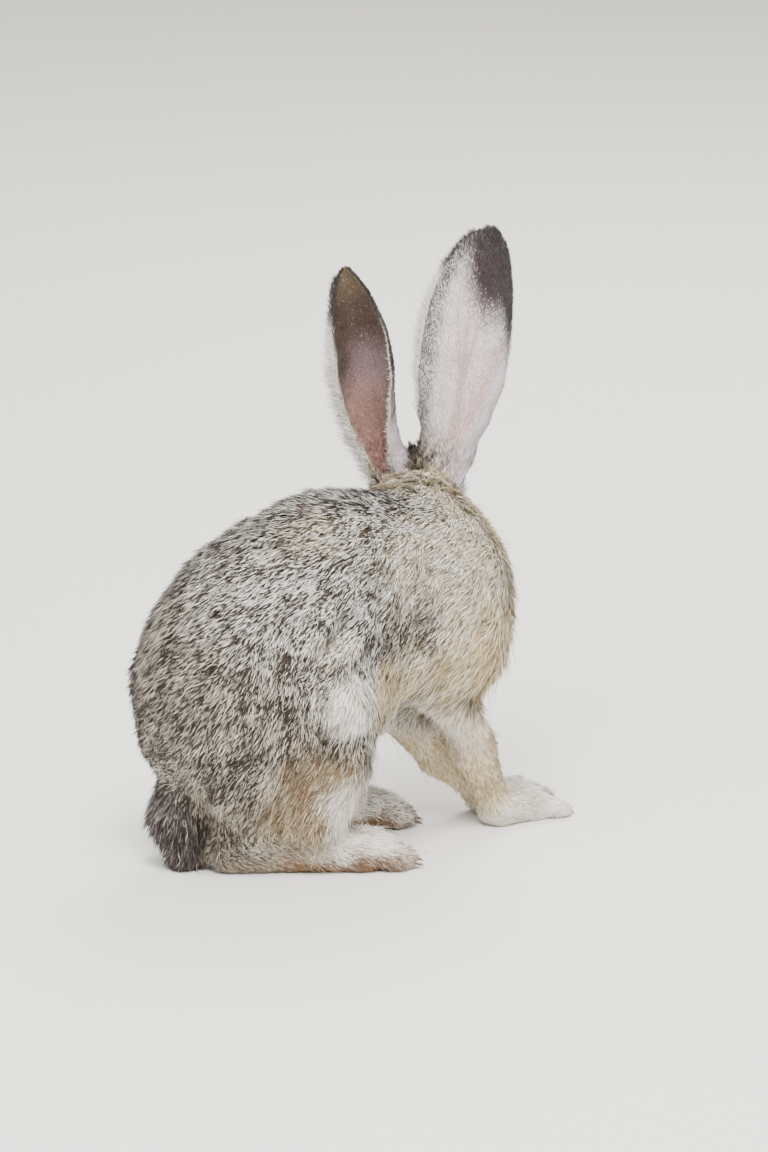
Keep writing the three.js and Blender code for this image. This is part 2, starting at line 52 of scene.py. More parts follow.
LIMBS = ["thigh", "shank", "hind_foot", "foreleg", "forepaw"]
FLESH = ["torso", "neck", "head", "tail", *(f"{limb}_{side}" for limb in LIMBS for side in ("right", "left"))]
VOXEL = 2.2
SWELL = 0.35  # closes the thin cuts between the nodes


def unit(vectors):
    vectors = np.asarray(vectors, float)
    return vectors / np.maximum(np.linalg.norm(vectors, axis=-1, keepdims=True), 1e-9)


def smooth(value, low, high):
    share = np.clip((value - low) / (high - low), 0, 1)
    return share * share * (3 - 2 * share)


def linear(*channels):
    return [c / 12.92 if c < 0.04045 else ((c + 0.055) / 1.055) ** 2.4 for c in channels]


# The head's own frame: +X to the nose, +Y to its left, +Z to the crown
HEAD_AT = np.array([81, 68, 181])
HEAD_YAW = math.radians(70)
HEAD_PITCH = math.radians(30)
EYE_AT = np.array([13, 17.2, 9.5])
EYE_RADIUS = 10


def head_axes():
    cy, sy = math.cos(HEAD_YAW), math.sin(HEAD_YAW)
    cp, sp = math.cos(HEAD_PITCH), math.sin(HEAD_PITCH)
    forward = [cy * cp, sy * cp, -sp]
    left = [-sy, cy, 0]
    return np.array([forward, left, np.cross(forward, left)])


HEAD_AXES = head_axes()


def centre_of(node):
    low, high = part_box(node)
    return (np.array(low) + np.array(high)) / 2 / MM


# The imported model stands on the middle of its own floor, so its eyes say how far it was moved
eyes = (centre_of("eye_left") + centre_of("eye_right")) / 2
SHIFT = eyes - HEAD_AT - np.array([EYE_AT[0], 0, EYE_AT[2]]) @ HEAD_AXES
HEAD_ORIGIN = HEAD_AT + SHIFT


def in_head(points):
    return (points - HEAD_ORIGIN) @ HEAD_AXES.T


def from_head(points):
    return np.asarray(points, float) @ HEAD_AXES + HEAD_ORIGIN


def place(x, y, z):
    return np.array([x, y, z]) + SHIFT


# Colours of the hairs: at the root, in the band under the tip, and at the tip
HAIRS = {
    "grizzle": [(0.50, 0.45, 0.39), (0.23, 0.195, 0.165), (0.97, 0.95, 0.91)],
    "dark": [(0.38, 0.33, 0.28), (0.19, 0.16, 0.13), (0.76, 0.72, 0.65)],
    "cream": [(0.82, 0.77, 0.67), (0.79, 0.73, 0.62), (0.97, 0.95, 0.89)],
    "white": [(0.88, 0.85, 0.80), (0.91, 0.88, 0.83), (0.98, 0.96, 0.93)],
    "buff": [(0.82, 0.75, 0.60), (0.80, 0.70, 0.53), (0.98, 0.94, 0.83)],
    "tan": [(0.57, 0.50, 0.39), (0.52, 0.43, 0.32), (0.80, 0.74, 0.62)],
    # Rust-brown darkened with painted shade, for the edges of the soles
    "rust_and_shade": [(0.44, 0.33, 0.23), (0.44, 0.31, 0.20), (0.60, 0.46, 0.32)],
    "black": [(0.20, 0.18, 0.17), (0.13, 0.11, 0.10), (0.32, 0.30, 0.29)],
    "sable": [(0.25, 0.21, 0.21), (0.185, 0.15, 0.15), (0.29, 0.25, 0.25)],
    "silver": [(0.83, 0.79, 0.80), (0.81, 0.77, 0.78), (0.91, 0.88, 0.90)],
    "vein": [(0.74, 0.66, 0.64), (0.70, 0.62, 0.60), (0.80, 0.74, 0.72)],
    "olive": [(0.52, 0.45, 0.35), (0.40, 0.34, 0.26), (0.72, 0.67, 0.56)],
    "umber": [(0.31, 0.235, 0.18), (0.28, 0.21, 0.16), (0.38, 0.30, 0.23)],
    "rose": [(0.78, 0.62, 0.57), (0.76, 0.59, 0.54), (0.82, 0.67, 0.62)],
    "mauve": [(0.63, 0.54, 0.56), (0.60, 0.51, 0.53), (0.67, 0.58, 0.60)],
}
HAIR_NAMES = list(HAIRS)
HAIR_COLOURS = np.array([[linear(*band) for band in HAIRS[name]] for name in HAIR_NAMES])


def hair(name):
    return np.eye(len(HAIR_NAMES))[HAIR_NAMES.index(name)]


KIND, LENGTH, WIDTH, LIFT, CROWD, DEPTH, SOFTNESS, LIE = range(8)  # the columns of PARTS
# What grows on each part: its hairs, their length and width, how far they stand up, how many there
# are to a square millimetre, the depth of the coat, how much the skin is smoothed, and their lie
PARTS = {
    "torso": ("grizzle", 10.0, 0.88, 21, 1.3, 4.0, 1.0, (-0.85, -0.05, -0.55)),
    "neck": ("cream", 9.5, 0.9, 15, 1.9, 4.0, 1.0, (-0.55, -0.65, -0.35)),
    "head": ("grizzle", 4.2, 0.62, 19, 4.2, 1.4, 0.12, None),
    "tail": ("sable", 13.0, 0.9, 20, 1.4, 3.5, 0.5, (-0.25, -0.05, -1.0)),
    "thigh": ("grizzle", 9.5, 0.88, 20, 1.3, 3.7, 1.0, (-0.60, 0.0, -0.85)),
    "shank": ("tan", 8.0, 0.75, 20, 2.0, 2.4, 0.6, (-0.15, 0.0, -1.0)),
    "hind_foot": ("white", 5.8, 0.55, 17, 3.4, 1.3, 0.16, (1.0, 0.05, -0.25)),
    "foreleg": ("buff", 6.5, 0.7, 19, 2.3, 2.0, 0.35, (0.50, 0.10, -0.85)),
    "forepaw": ("white", 4.4, 0.5, 16, 3.8, 1.1, 0.12, (1.0, 0.22, -0.25)),
}

LEFT_AHEAD = 32  # how far the left hind leg stands ahead of the right


def on_both(name, at, reach, share):
    """A patch on the right hind leg, and the same on the left."""
    x, y, z = at
    return [(name, (x, y, z), reach, share), (name, (x + LEFT_AHEAD, -y, z), reach, share)]


# Markings, and painted shade by the knees and feet: the hairs, the middle of the patch, its reach each way,
# and how far it replaces what is there
MARKINGS_AND_SHADE = [
    ("dark", (-118, -8, 104), (56, 60, 94), 0.95),
    ("dark", (-76, -44, 84), (72, 50, 84), 0.70),
    ("dark", (-56, 44, 76), (66, 46, 74), 0.60),
    ("dark", (-60, 0, 190), (84, 30, 34), 0.45),
    ("cream", (66, -30, 180), (48, 44, 40), 0.55),
    ("dark", (44, -34, 146), (24, 22, 30), 0.55),
    ("cream", (98, -8, 176), (30, 38, 34), 0.70),
    ("cream", (72, 40, 214), (24, 26, 18), 0.75),
    ("buff", (100, -4, 120), (46, 54, 44), 0.85),
    ("buff", (46, -42, 106), (50, 34, 28), 0.92),
    ("buff", (70, 40, 104), (46, 30, 25), 0.70),
    ("cream", (88, 18, 88), (48, 48, 22), 0.75),
    ("white", (30, 0, 68), (74, 42, 27), 0.90),
    *on_both("tan", (-26, -60, 66), (30, 36, 30), 0.90),
    *on_both("tan", (-46, -58, 34), (34, 36, 32), 0.85),
    *on_both("white", (-2, -50, 36), (21, 40, 33), 0.95),
    # Dark bands under the kneecap and between the knee and the fold of the flank, on both legs: painted shade
    *on_both("dark", (-24, -64, 92), (24, 24, 13), 0.65),
    *on_both("dark", (-16, -64, 134), (26, 24, 8), 0.50),
    ("white", (-8, -64, 113), (20, 32, 19), 1.0),
    ("white", (24, 64, 111), (20, 32, 19), 1.0),
    *on_both("tan", (-78, -42, 12), (44, 32, 24), 0.75),
    *on_both("grizzle", (-74, -46, 24), (30, 26, 16), 0.75),
    ("dark", (-86, -40, 32), (32, 44, 42), 0.70),
    ("dark", (-62, 40, 32), (32, 44, 42), 0.60),
    ("olive", (-14, -25, 204), (28, 24, 15), 0.45),
    ("tan", (40, -40, 8), (16, 24, 12), 0.40),
    # Grey-brown on the inner side of the far (left) hind foot: painted shade
    ("grizzle", (52, 28, 12), (26, 20, 24), 0.55),
    *on_both("cream", (-14, -64, 146), (24, 22, 10), 0.50),
    # Rust-brown hair along the edges of the soles, darker with painted shade where the feet meet the floor
    *on_both("rust_and_shade", (-14, -44, 1), (60, 60, 13), 0.95),
    ("tan", (125, 20, 50), (40, 60, 48), 0.30),
    ("tan", (113, 6, 58), (15, 17, 30), 0.85),
    ("tan", (130, 14, 34), (13, 16, 24), 0.50),
    ("tan", (172, 48, 8), (17, 40, 16), 0.50),
    ("grizzle", (-104, -2, 44), (16, 26, 36), 0.45),
]
HEAD_MARKINGS = [
    ("buff", (40, 0, 8), (28, 32, 14), 0.40),
    ("cream", (-36, 0, 6), (26, 38, 34), 0.75),
    ("dark", (-16, 0, 27), (16, 8, 13), 0.85),
    ("dark", (22, 0, 21), (28, 12, 8), 0.35),
    ("cream", (13, 17, 9.5), (19, 13, 14.5), 0.85),
    ("cream", (13, -17, 9.5), (19, 13, 14.5), 0.85),
    ("buff", (-8, 20, -8), (20, 12, 14), 0.40),
    ("buff", (-8, -20, -8), (20, 12, 14), 0.40),
    ("white", (26, 0, -22), (48, 32, 11), 0.95),
    ("cream", (58, 0, -5), (14, 18, 11), 0.85),
    ("tan", (60, 0, 8), (10, 8, 6), 0.45),
]


def coordinates(mesh):
    flat = np.empty(3 * len(mesh.vertices), np.float32)
    mesh.vertices.foreach_get("co", flat)
    return flat.reshape(-1, 3).astype(float)


# The skin of the body: the nodes of flesh joined, remeshed finely, smoothed and drawn in under the coat
def joined_flesh():
    points, faces, owners = [], [], []
    start = 0
    for name in FLESH:
        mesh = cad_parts[name].data
        normals = np.empty(3 * len(mesh.vertices), np.float32)
        mesh.vertices.foreach_get("normal", normals)
        points.append(coordinates(mesh) / MM + SWELL * normals.reshape(-1, 3))
        faces += [[start + i for i in face.vertices] for face in mesh.polygons]
        owners += [name] * len(mesh.polygons)
        start += len(mesh.vertices)
    return np.concatenate(points), faces, owners


def remeshed(points, faces, voxel):
    mesh = bpy.data.meshes.new("flesh")
    mesh.from_pydata((points * MM).tolist(), [], faces)
    flesh = bpy.data.objects.new("flesh", mesh)
    bpy.context.scene.collection.objects.link(flesh)
    modifier = flesh.modifiers.new("fine", "REMESH")
    modifier.mode = "VOXEL"
    modifier.voxel_size = voxel * MM
    fine = bpy.data.meshes.new_from_object(flesh.evaluated_get(bpy.context.evaluated_depsgraph_get()))
    corners = np.empty(len(fine.loops), np.int32)
    fine.loops.foreach_get("vertex_index", corners)
    result = coordinates(fine) / MM, corners.reshape(-1, 4)
    bpy.data.objects.remove(flesh)
    bpy.data.meshes.remove(mesh)
    bpy.data.meshes.remove(fine)
    return result


def sides(quads):
    pairs = np.concatenate([quads[:, [i, (i + 1) % 4]] for i in range(4)])
    return np.unique(np.sort(pairs, axis=1), axis=0)


def largest_body(points, quads):
    """Drops the closed pockets that remeshing leaves inside."""
    pairs = sides(quads)
    label = np.arange(len(points))
    while True:
        lowest = np.minimum(label[pairs[:, 0]], label[pairs[:, 1]])
        following = label.copy()
        np.minimum.at(following, pairs[:, 0], lowest)
        np.minimum.at(following, pairs[:, 1], lowest)
        following = following[following]
        if (following == label).all():
            break
        label = following
    keep = label == np.bincount(label).argmax()
    number = np.cumsum(keep) - 1
    return points[keep], number[quads[keep[quads[:, 0]]]]


def averaged(values, pairs):
    """The mean over each point's neighbours."""
    count = len(values)
    heads = np.concatenate([pairs[:, 0], pairs[:, 1]])
    tails = np.concatenate([pairs[:, 1], pairs[:, 0]])
    total = np.stack([np.bincount(heads, values[tails, i], count) for i in range(values.shape[1])], axis=1)
    return total / np.maximum(np.bincount(heads, minlength=count), 1)[:, None]


def normals_of(points, quads):
    across = points[quads[:, 2]] - points[quads[:, 0]]
    other = points[quads[:, 3]] - points[quads[:, 1]]
    facing = np.cross(across, other)
    totals = [np.bincount(quads.ravel(), np.repeat(facing[:, i], 4), len(points)) for i in range(3)]
    return unit(np.stack(totals, axis=1))


BORDER_TURNS = 14  # how often the shares are averaged, which sets how soft the borders are


def part_shares(points, pairs, faces_source):
    """How much of each part a point belongs to, with soft borders."""
    source_points, source_faces, owners = faces_source
    tree = BVHTree.FromPolygons(source_points.tolist(), source_faces)
    names = list(PARTS)
    owning = [owners[tree.find_nearest(Vector(point))[2]] for point in points.tolist()]
    nearest = [names.index(owner.removesuffix("_right").removesuffix("_left")) for owner in owning]
    shares = np.eye(len(names))[nearest]
    for _ in range(BORDER_TURNS):
        shares = averaged(shares, pairs)
    return shares


def part_values(shares, column):
    return shares @ np.array([part[column] for part in PARTS.values()], float)


def refined(points, quads, chosen, carried):
    """Splits the chosen quads in four, and the quads beside them into fans that meet the new points."""
    keys = np.sort(np.stack([quads, np.roll(quads, -1, axis=1)], axis=2), axis=2)
    key = keys[:, :, 0] * len(points) + keys[:, :, 1]
    split, number = np.unique(key[chosen], return_inverse=True)
    first, second = split // len(points), split % len(points)
    middles = (points[first] + points[second]) / 2
    centres = points[quads[chosen]].mean(axis=1)
    edge_start = len(points)
    centre_start = edge_start + len(middles)
    number = number.reshape(-1, 4)
    corners = quads[chosen]
    centre = centre_start + np.arange(len(corners))
    edge = edge_start + number
    fours = [np.stack([corners[:, i], edge[:, i], centre, edge[:, i - 1]], axis=1) for i in range(4)]
    rest = []
    at = np.clip(np.searchsorted(split, key), 0, len(split) - 1)
    beside = (split[at] == key) & ~chosen[:, None]
    plain = ~chosen & ~beside.any(axis=1)
    for face in np.nonzero(~chosen & ~plain)[0]:
        ring = []
        for i in range(4):
            ring.append(quads[face, i])
            if beside[face, i]:
                ring.append(edge_start + at[face, i])
        rest.append(ring)
    carried = np.concatenate([carried, (carried[first] + carried[second]) / 2, carried[corners].mean(axis=1)])
    return np.concatenate([points, middles, centres]), np.concatenate([quads[plain], *fours]), rest, carried


SMOOTHING_TURNS = 90
PULLS = 0.6, -0.62  # in and out by turns, so that the form doesn't shrink

source = joined_flesh()
skin_points, skin_quads = largest_body(*remeshed(source[0], source[1], VOXEL))
skin_pairs = sides(skin_quads)
shares = part_shares(skin_points, skin_pairs, source)
softness = part_values(shares, SOFTNESS)[:, None]
for turn in range(SMOOTHING_TURNS):
    pull = PULLS[turn % 2]
    skin_points += pull * softness ** 0.5 * (averaged(skin_points, skin_pairs) - skin_points)
for _ in range(4):
    skin_points += 0.5 * (0.25 + 0.75 * softness) * (averaged(skin_points, skin_pairs) - skin_points)

skin_points -= part_values(shares, DEPTH)[:, None] * normals_of(skin_points, skin_quads)
for _ in range(3):
    skin_points += 0.4 * softness * (averaged(skin_points, skin_pairs) - skin_points)

# The head is refined twice, so that its skin can carry the folds of the face
HEAD = list(PARTS).index("head")
odd_faces = []
chosen = shares[skin_quads].mean(axis=1)[:, HEAD] > 0.6
skin_points, skin_quads, more, shares = refined(skin_points, skin_quads, chosen, shares)
odd_faces += more
middle = in_head(skin_points[skin_quads].mean(axis=1))
chosen = (middle[:, 0] > 40) & (np.abs(middle[:, 1]) < 24) & (middle[:, 2] > -26) & (middle[:, 2] < 26)
chosen &= shares[skin_quads].min(axis=1)[:, HEAD] > 0.9
skin_points, skin_quads, more, shares = refined(skin_points, skin_quads, chosen, shares)
odd_faces += more


NOSTRIL = (63.0, 1.5, 0.8), (59.8, 7.0, 5.2)  # a slanting slit, from its inner to its outer end


def near(points, x, y, z, reach):
    """A soft spot on both sides of the head: 1 at its middle, 0 far off."""
    apart = points - [x, 0, z]
    apart[:, 1] = np.abs(points[:, 1]) - y
    return np.exp(-(apart ** 2).sum(axis=1) / reach ** 2)


def to_segment(points, start, end):
    start, end = np.array(start), np.array(end)
    along = np.clip((points - start) @ (end - start) / ((end - start) ** 2).sum(), 0, 1)
    return np.linalg.norm(points - start - along[:, None] * (end - start), axis=1)


def grooves(points):
    """The mouth, the cleft of the lip and the nostrils, each 1 along its line."""
    x, y, z = points.T
    back = np.clip((64 - x) / 31, 0, 1)
    mouth = -9 * (1 - back) ** 2 - 19 * back * (1 - back) - 15 * back ** 2
    folded = np.stack([x, np.abs(y), z], axis=1)
    lips = np.exp(-((z - mouth) / 1.0) ** 2) * smooth(x, 33, 38)
    cleft = np.exp(-(y / 0.9) ** 2) * smooth(x, 53, 56) * smooth(z, -11, -8) * smooth(-z, -3, -1)
    nostrils = np.exp(-(to_segment(folded, *NOSTRIL) / 1.25) ** 2)
    return lips, cleft, nostrils


def face_relief(points):
    """How far the face stands out from its plain form, in the head's frame."""
    lips, cleft, nostrils = grooves(points)
    relief = 2.0 * near(points, 53, 8.5, -4, 8) + 1.0 * near(points, 12, 15, 21, 7)
    relief += 0.9 * near(points, 0, 21, -9, 9) + 1.4 * near(points, 48, 0, -15, 7)
    relief -= 1.1 * near(points, 27, 14, 6, 6) + 1.9 * lips + 1.6 * cleft + 2.8 * nostrils
    return relief


def waves(points, reach, seed, count=7):
    """Smooth variation from -1 to 1 over about the given reach."""
    source = np.random.default_rng(seed)
    value = np.zeros(len(points))
    for _ in range(count):
        value += np.sin(points @ (source.normal(size=3) * 2.2 / reach) + source.uniform(0, 6.28))
    return value / math.sqrt(count * 2)


def leg_relief(points, side, ahead):
    """The kneecap, the haunch that hangs over the lower leg, and the fold of the flank."""
    x, y, z = ((points - place(ahead, 0, 0)) * [1, side, 1]).T
    outer = smooth(y, 30, 46)
    knee = np.hypot(np.hypot(x + 11, z - 113), 0.5 * (y - 66))
    relief = 4.2 * np.exp(-(knee / 16) ** 2) - 5.2 * np.exp(-((knee - 26) / 5) ** 2) * smooth(-z, -124, -100)
    beyond = 0.849 * (x + 28) - 0.529 * (z - 89)
    down = -0.529 * (x + 28) - 0.849 * (z - 89)
    hollow = (smooth(beyond, -4, 4) * smooth(-beyond, -40, -14) * smooth(down, -6, 12)
              * smooth(-down, -92, -70))
    relief -= 5.5 * hollow
    fold = to_segment(np.stack([x, 0 * x, z], axis=1), (-36, 0, 130), (0, 0, 160))
    ridge = to_segment(np.stack([x, 0 * x, z], axis=1), (-26, 0, 121), (10, 0, 150))
    relief += 3.0 * np.exp(-(ridge / 5) ** 2) - 5.0 * np.exp(-(fold / 4.5) ** 2)
    return relief * outer


TOE_SPACING = 1.3  # in radii of a toe
FEET = {  # ball and toe tips, toe radius, claw radius and length
    "hind_right": (place(4, -42, 12), place(38, -41, 0), 7.2, 1.7, 10.5),
    "hind_left": (place(34, 41, 12), place(68, 42, 0), 7.2, 1.7, 10.5),
    "fore_right": (place(139.5, 23.5, 7.5), place(164, 29, 0), 5.0, 1.25, 8.0),
    "fore_left": (place(140.5, 55, 7.5), place(164, 63, 0), 5.0, 1.25, 8.0),
}


def toe_relief(points):
    """Soft grooves between the four toes of each foot."""
    relief = np.zeros(len(points))
    for ball, toes, toe_radius, _, _ in FEET.values():
        forward = unit((toes - ball) * [1, 1, 0])
        across = np.array([-forward[1], forward[0], 0])
        apart = points - toes
        ahead, aside = apart @ forward, apart @ across
        toe = toe_radius * TOE_SPACING
        groove = sum(np.exp(-((aside - gap * toe) / 1.8) ** 2) for gap in (-1, 0, 1))
        window = smooth(ahead, -22, -8) * smooth(-np.abs(aside), -22, -15) * smooth(-np.abs(ahead), -30, -18)
        relief -= 3.4 * groove * window * smooth(points[:, 2], 1.5, 5) * smooth(-points[:, 2], -34, -24)
    return relief


skin_points += toe_relief(skin_points)[:, None] * normals_of(skin_points, skin_quads)
lumps = 0.9 * waves(skin_points, 13, 40) + 0.5 * waves(skin_points, 6, 41)
skin_points += (lumps * part_values(shares, SOFTNESS) ** 2)[:, None] * normals_of(skin_points, skin_quads)
for side, ahead in ((-1, 0), (1, LEFT_AHEAD)):
    relief = leg_relief(skin_points, side, ahead) * (1 - shares[:, HEAD])
    skin_points += relief[:, None] * normals_of(skin_points, skin_quads)

on_head = shares[:, HEAD] * smooth(in_head(skin_points)[:, 0], -30, -15)
relief = face_relief(in_head(skin_points)) * on_head
skin_points += relief[:, None] * normals_of(skin_points, skin_quads)


# Each ear is a cupped sheet, curled to a tube at its root
EAR_ROOT = (-19, 14.5, 24)
EAR_STUB_RADIUS = 12
EAR_STOPS = [0, 0.12, 0.24, 0.4, 0.58, 0.8, 1]
EAR_WIDEST = 0.43
EAR_THICKNESS = 1.7
EAR_SINK = -0.05  # how far along itself an ear starts inside the head
# The veins of its back: where each starts across it, how far it spreads, and how it bows
VEINS = [(-0.10, 0.25, 0.05), (0.05, 0.05, -0.05), (0.12, -0.45, 0.06), (-0.2, 0.75, -0.04)]
# A crease of the outer face, from the root to the hind margin
FOLD_FOOT, FOLD_SPREAD, FOLD_DEPTH = 0.15, -1.5, 0.9
# Side, tip, the way the cup opens, how far it curls at each stop in degrees, and its sway
EARS = {
    "right": (-1, (121, 49, 369), (0.3, 0.95, 0), [290, 212, 155, 116, 105, 96, 70], 1.5),
    "left": (1, (16.4, 21.7, 349), (-0.55, -0.84, 0), [300, 290, 262, 228, 200, 176, 140], 3),
}


def eased(values, at):
    i = np.clip(np.searchsorted(EAR_STOPS, at), 1, len(EAR_STOPS) - 1)
    stops, values = np.array(EAR_STOPS), np.array(values, float)
    return values[i - 1] + (values[i] - values[i - 1]) * smooth(at, stops[i - 1], stops[i])


def ear_half_width(along):
    above = np.clip((along - EAR_WIDEST) / (1 - EAR_WIDEST), 0, 1)
    upper = 31 * np.maximum(1 - above ** 2.2, 0.015) ** 0.6
    return np.where(along < EAR_WIDEST, 29 + 2 * smooth(along, 0, EAR_WIDEST), upper)


def ear_axes(side, tip, faces):
    root = from_head([EAR_ROOT[0], side * EAR_ROOT[1], EAR_ROOT[2]])
    reach = np.array(tip) + SHIFT - root
    axis = unit(reach)
    facing = unit(np.array(faces) - np.dot(faces, axis) * axis)
    return root, axis, facing, np.cross(axis, facing), np.linalg.norm(reach)


def ear_points(ear, along, out, face):
    """Points of an ear's sheet: along it, across it from -1 to 1, and in front of or behind its middle."""
    side, tip, faces, curls, sway = ear
    root, axis, facing, across, length = ear_axes(side, tip, faces)
    curl = np.radians(eased(curls, np.clip(along, 0, 1)))
    radius = 2 * ear_half_width(np.clip(along, 0, 1)) / curl
    thickness = EAR_THICKNESS * (1 - 0.4 * out ** 2) * (1 - 0.4 * along)
    fold = FOLD_FOOT + FOLD_SPREAD * along
    beyond = np.clip((fold + side * out) / 0.3, 0, 1)
    beyond = beyond * smooth(along, 0.06, 0.16) * smooth(-along, -0.66, -0.5)
    reach = radius + face * thickness / 2 - FOLD_DEPTH * (face > 0) * beyond * (1 - beyond * 0.5)
    angle = out * curl / 2
    middle = root + along[..., None] * length * axis - (sway * np.sin(2 * np.pi * along))[..., None] * across
    middle = middle + (radius - EAR_STUB_RADIUS + 1)[..., None] * facing
    return middle - (np.cos(angle) * reach)[..., None] * facing + (np.sin(angle) * reach)[..., None] * across


def ear_sheet(ear, rows=90, columns=56):
    along, out = np.meshgrid(np.linspace(EAR_SINK, 1, rows + 1), np.linspace(-1, 1, columns + 1),
                             indexing="ij")
    points, alongs, outs, faces = [], [], [], []
    for face in (-1, 1):
        points.append(ear_points(ear, along, out, face).reshape(-1, 3))
        alongs.append(along.ravel())
        outs.append(out.ravel())
    count = (rows + 1) * (columns + 1)
    grid = np.arange(count).reshape(rows + 1, columns + 1)
    inner = np.stack([grid[:-1, :-1], grid[:-1, 1:], grid[1:, 1:], grid[1:, :-1]], axis=-1).reshape(-1, 4)
    rim = np.concatenate([grid[0, :], grid[1:, -1], grid[-1, -2::-1], grid[-2:0:-1, 0]])
    ahead = np.roll(rim, -1)
    closing = np.stack([rim, rim + count, ahead + count, ahead], axis=1)
    quads = np.concatenate([inner, inner[:, ::-1] + count, closing])
    face = np.repeat([-1, 1], count)
    return np.concatenate(points), quads, np.concatenate(alongs), np.concatenate(outs), face


def mixed(weights, name, share):
    share = np.clip(share, 0, 1)[:, None]
    return weights * (1 - share) + share * hair(name)


def ear_hairs(side, along, out, face):
    """The ear's markings: silver behind, brown along its front margin, black at its tip."""
    front = -side * out
    behind = np.tile(hair("silver"), (len(along), 1))
    behind = mixed(behind, "rose", 0.22 * smooth(along, 0.1, 0.3) * smooth(-np.abs(out), -0.7, -0.2))
    for foot, spread, bow in VEINS:
        path = foot + spread * along + bow * np.sin(5 * along)
        behind = mixed(behind, "vein", np.exp(-((out - path) / 0.05) ** 2) * smooth(-along, -0.75, -0.5))
    beside = front - FOLD_FOOT - FOLD_SPREAD * along
    crease = np.exp(-(beside / 0.16) ** 2)
    behind = mixed(behind, "rose", 0.55 * crease * smooth(along, 0.1, 0.2) * smooth(-along, -0.6, -0.5))
    behind = mixed(behind, "grizzle", 0.9 * smooth(front, 0.42, 0.8))
    if side > 0:
        behind = mixed(behind, "olive", 0.85 * smooth(-front, 0.45, 0.8) * smooth(along, 0.25, 0.4))
    behind = mixed(behind, "olive", 0.7 * smooth(-along, -0.24, -0.10) * smooth(front, -0.2, 0.4))
    streaks = smooth(np.sin(24 * out + 3 * np.sin(9 * along)), 0.2, 0.8) * smooth(-along, -0.17, -0.05)
    behind = mixed(behind, "sable", 0.8 * streaks * smooth(front, -0.3, 0.3))
    edge = along - 0.27 * smooth(front, -0.35, 0.8) + 0.12 * smooth(-front, 0.6, 0.95)
    behind = mixed(behind, "sable", smooth(edge, 0.53, 0.76))
    behind = mixed(behind, "black", 0.8 * smooth(along, 0.82, 0.97)
                   + 0.6 * smooth(edge, 0.66, 0.8) * smooth(-front, 0.4, 0.9))
    within = np.tile(hair("mauve"), (len(along), 1))
    within = mixed(within, "rose", 0.9 * smooth(-along, -0.58, -0.3) * smooth(front, -0.6, 0.3))
    within = mixed(within, "umber", 0.9 * smooth(along, 0.48, 0.75))
    within = mixed(within, "umber", 0.8 * smooth(front, 0.1, 0.7) * smooth(along, 0.36, 0.56))
    within = mixed(within, "olive", 0.85 * smooth(-front, 0.3, 0.6) * smooth(along, 0.2, 0.45))
    within = mixed(within, "olive", 0.6 * smooth(along, 0.8, 0.95))
    within = mixed(within, "cream", 0.8 * smooth(front, 0.84, 0.96) * smooth(-along, -0.8, -0.6))
    within = mixed(within, "black", 0.9 * smooth(along, 0.74, 0.88) * smooth(np.abs(out), 0.55, 0.85))
    return np.where(face[:, None] > 0, behind, within)


# Lids: a soft almond ring that closes over the rim of each eye
def eye_axes(side):
    gaze = unit(np.array([0.24, side * 0.94, 0.22]))
    level = unit(np.array([1, -side * 0.25, -0.12]) - np.dot([1, -side * 0.25, -0.12], gaze) * gaze)
    return EYE_AT * [1, side, 1], level, np.cross(gaze, level) * side, gaze


# From the outer ring to the inner: its spread, its distance from the eye's centre, and how far it is sunk
LID_RINGS = [(1.5, 11.2, -4.0), (1.3, 11.4, -0.5), (1.17, 11.6, 0), (1.07, 11.5, 0), (1.0, 10.9, 0),
             (0.96, 9.6, 0)]


def lids(side, steps=56):
    centre, level, upward, gaze = eye_axes(side)
    turn = np.linspace(0, 2 * np.pi, steps, endpoint=False)
    width = 8.7 * np.cos(turn)
    height = np.sin(turn) * np.where(np.sin(turn) > 0, 7.4, 6.4) * (1 - 0.2 * np.cos(turn) ** 2)
    rings = []
    for spread, radius, drop in LID_RINGS:
        across = np.minimum(np.hypot(width, height) * spread, 10.9)
        share = across / np.hypot(width, height)
        depth = np.sqrt(radius ** 2 - np.minimum(across, 0.96 * radius) ** 2) + drop
        rings.append(centre + np.outer(width * share, level) + np.outer(height * share, upward)
                     + np.outer(depth, gaze))
    grid = np.arange(len(rings) * steps).reshape(len(rings), steps)
    ahead = np.roll(grid, -1, axis=1)
    quads = np.stack([grid[:-1], ahead[:-1], ahead[1:], grid[1:]], axis=-1).reshape(-1, 4)
    if side < 0:
        quads = quads[:, ::-1]
    return from_head(np.concatenate(rings)), quads, np.repeat(np.arange(len(rings)), steps)


# Lie, markings with painted shade, and measures of the coat at each point of the skin
def body_hairs(points):
    weights = shares @ np.array([hair(part[KIND]) for part in PARTS.values()])
    ragged = points + 4.5 * np.stack([waves(points, 13, 20 + i) for i in range(3)], axis=1)
    for name, at, reach, share in MARKINGS_AND_SHADE:
        apart = np.linalg.norm((ragged - place(*at)) / reach, axis=1)
        weights = mixed(weights, name, share * smooth(-apart, -1.25, -0.45))
    weights = mixed(weights, "sable", 0.75 * shares[:, list(PARTS).index("tail")])
    local = in_head(ragged)
    for name, at, reach, share in HEAD_MARKINGS:
        apart = np.linalg.norm((local - at) / reach, axis=1)
        weights = mixed(weights, name, share * smooth(-apart, -1.25, -0.45) * shares[:, HEAD])
    return weights


def body_lie(points):
    backward = -HEAD_AXES[0] - 0.1 * HEAD_AXES[2]
    lies = np.array([part[LIE] if part[LIE] else backward for part in PARTS.values()])
    lie = shares @ unit(lies)
    swirl = np.stack([waves(points, 26, 30 + i) for i in range(3)], axis=1)
    return lie + 0.16 * swirl


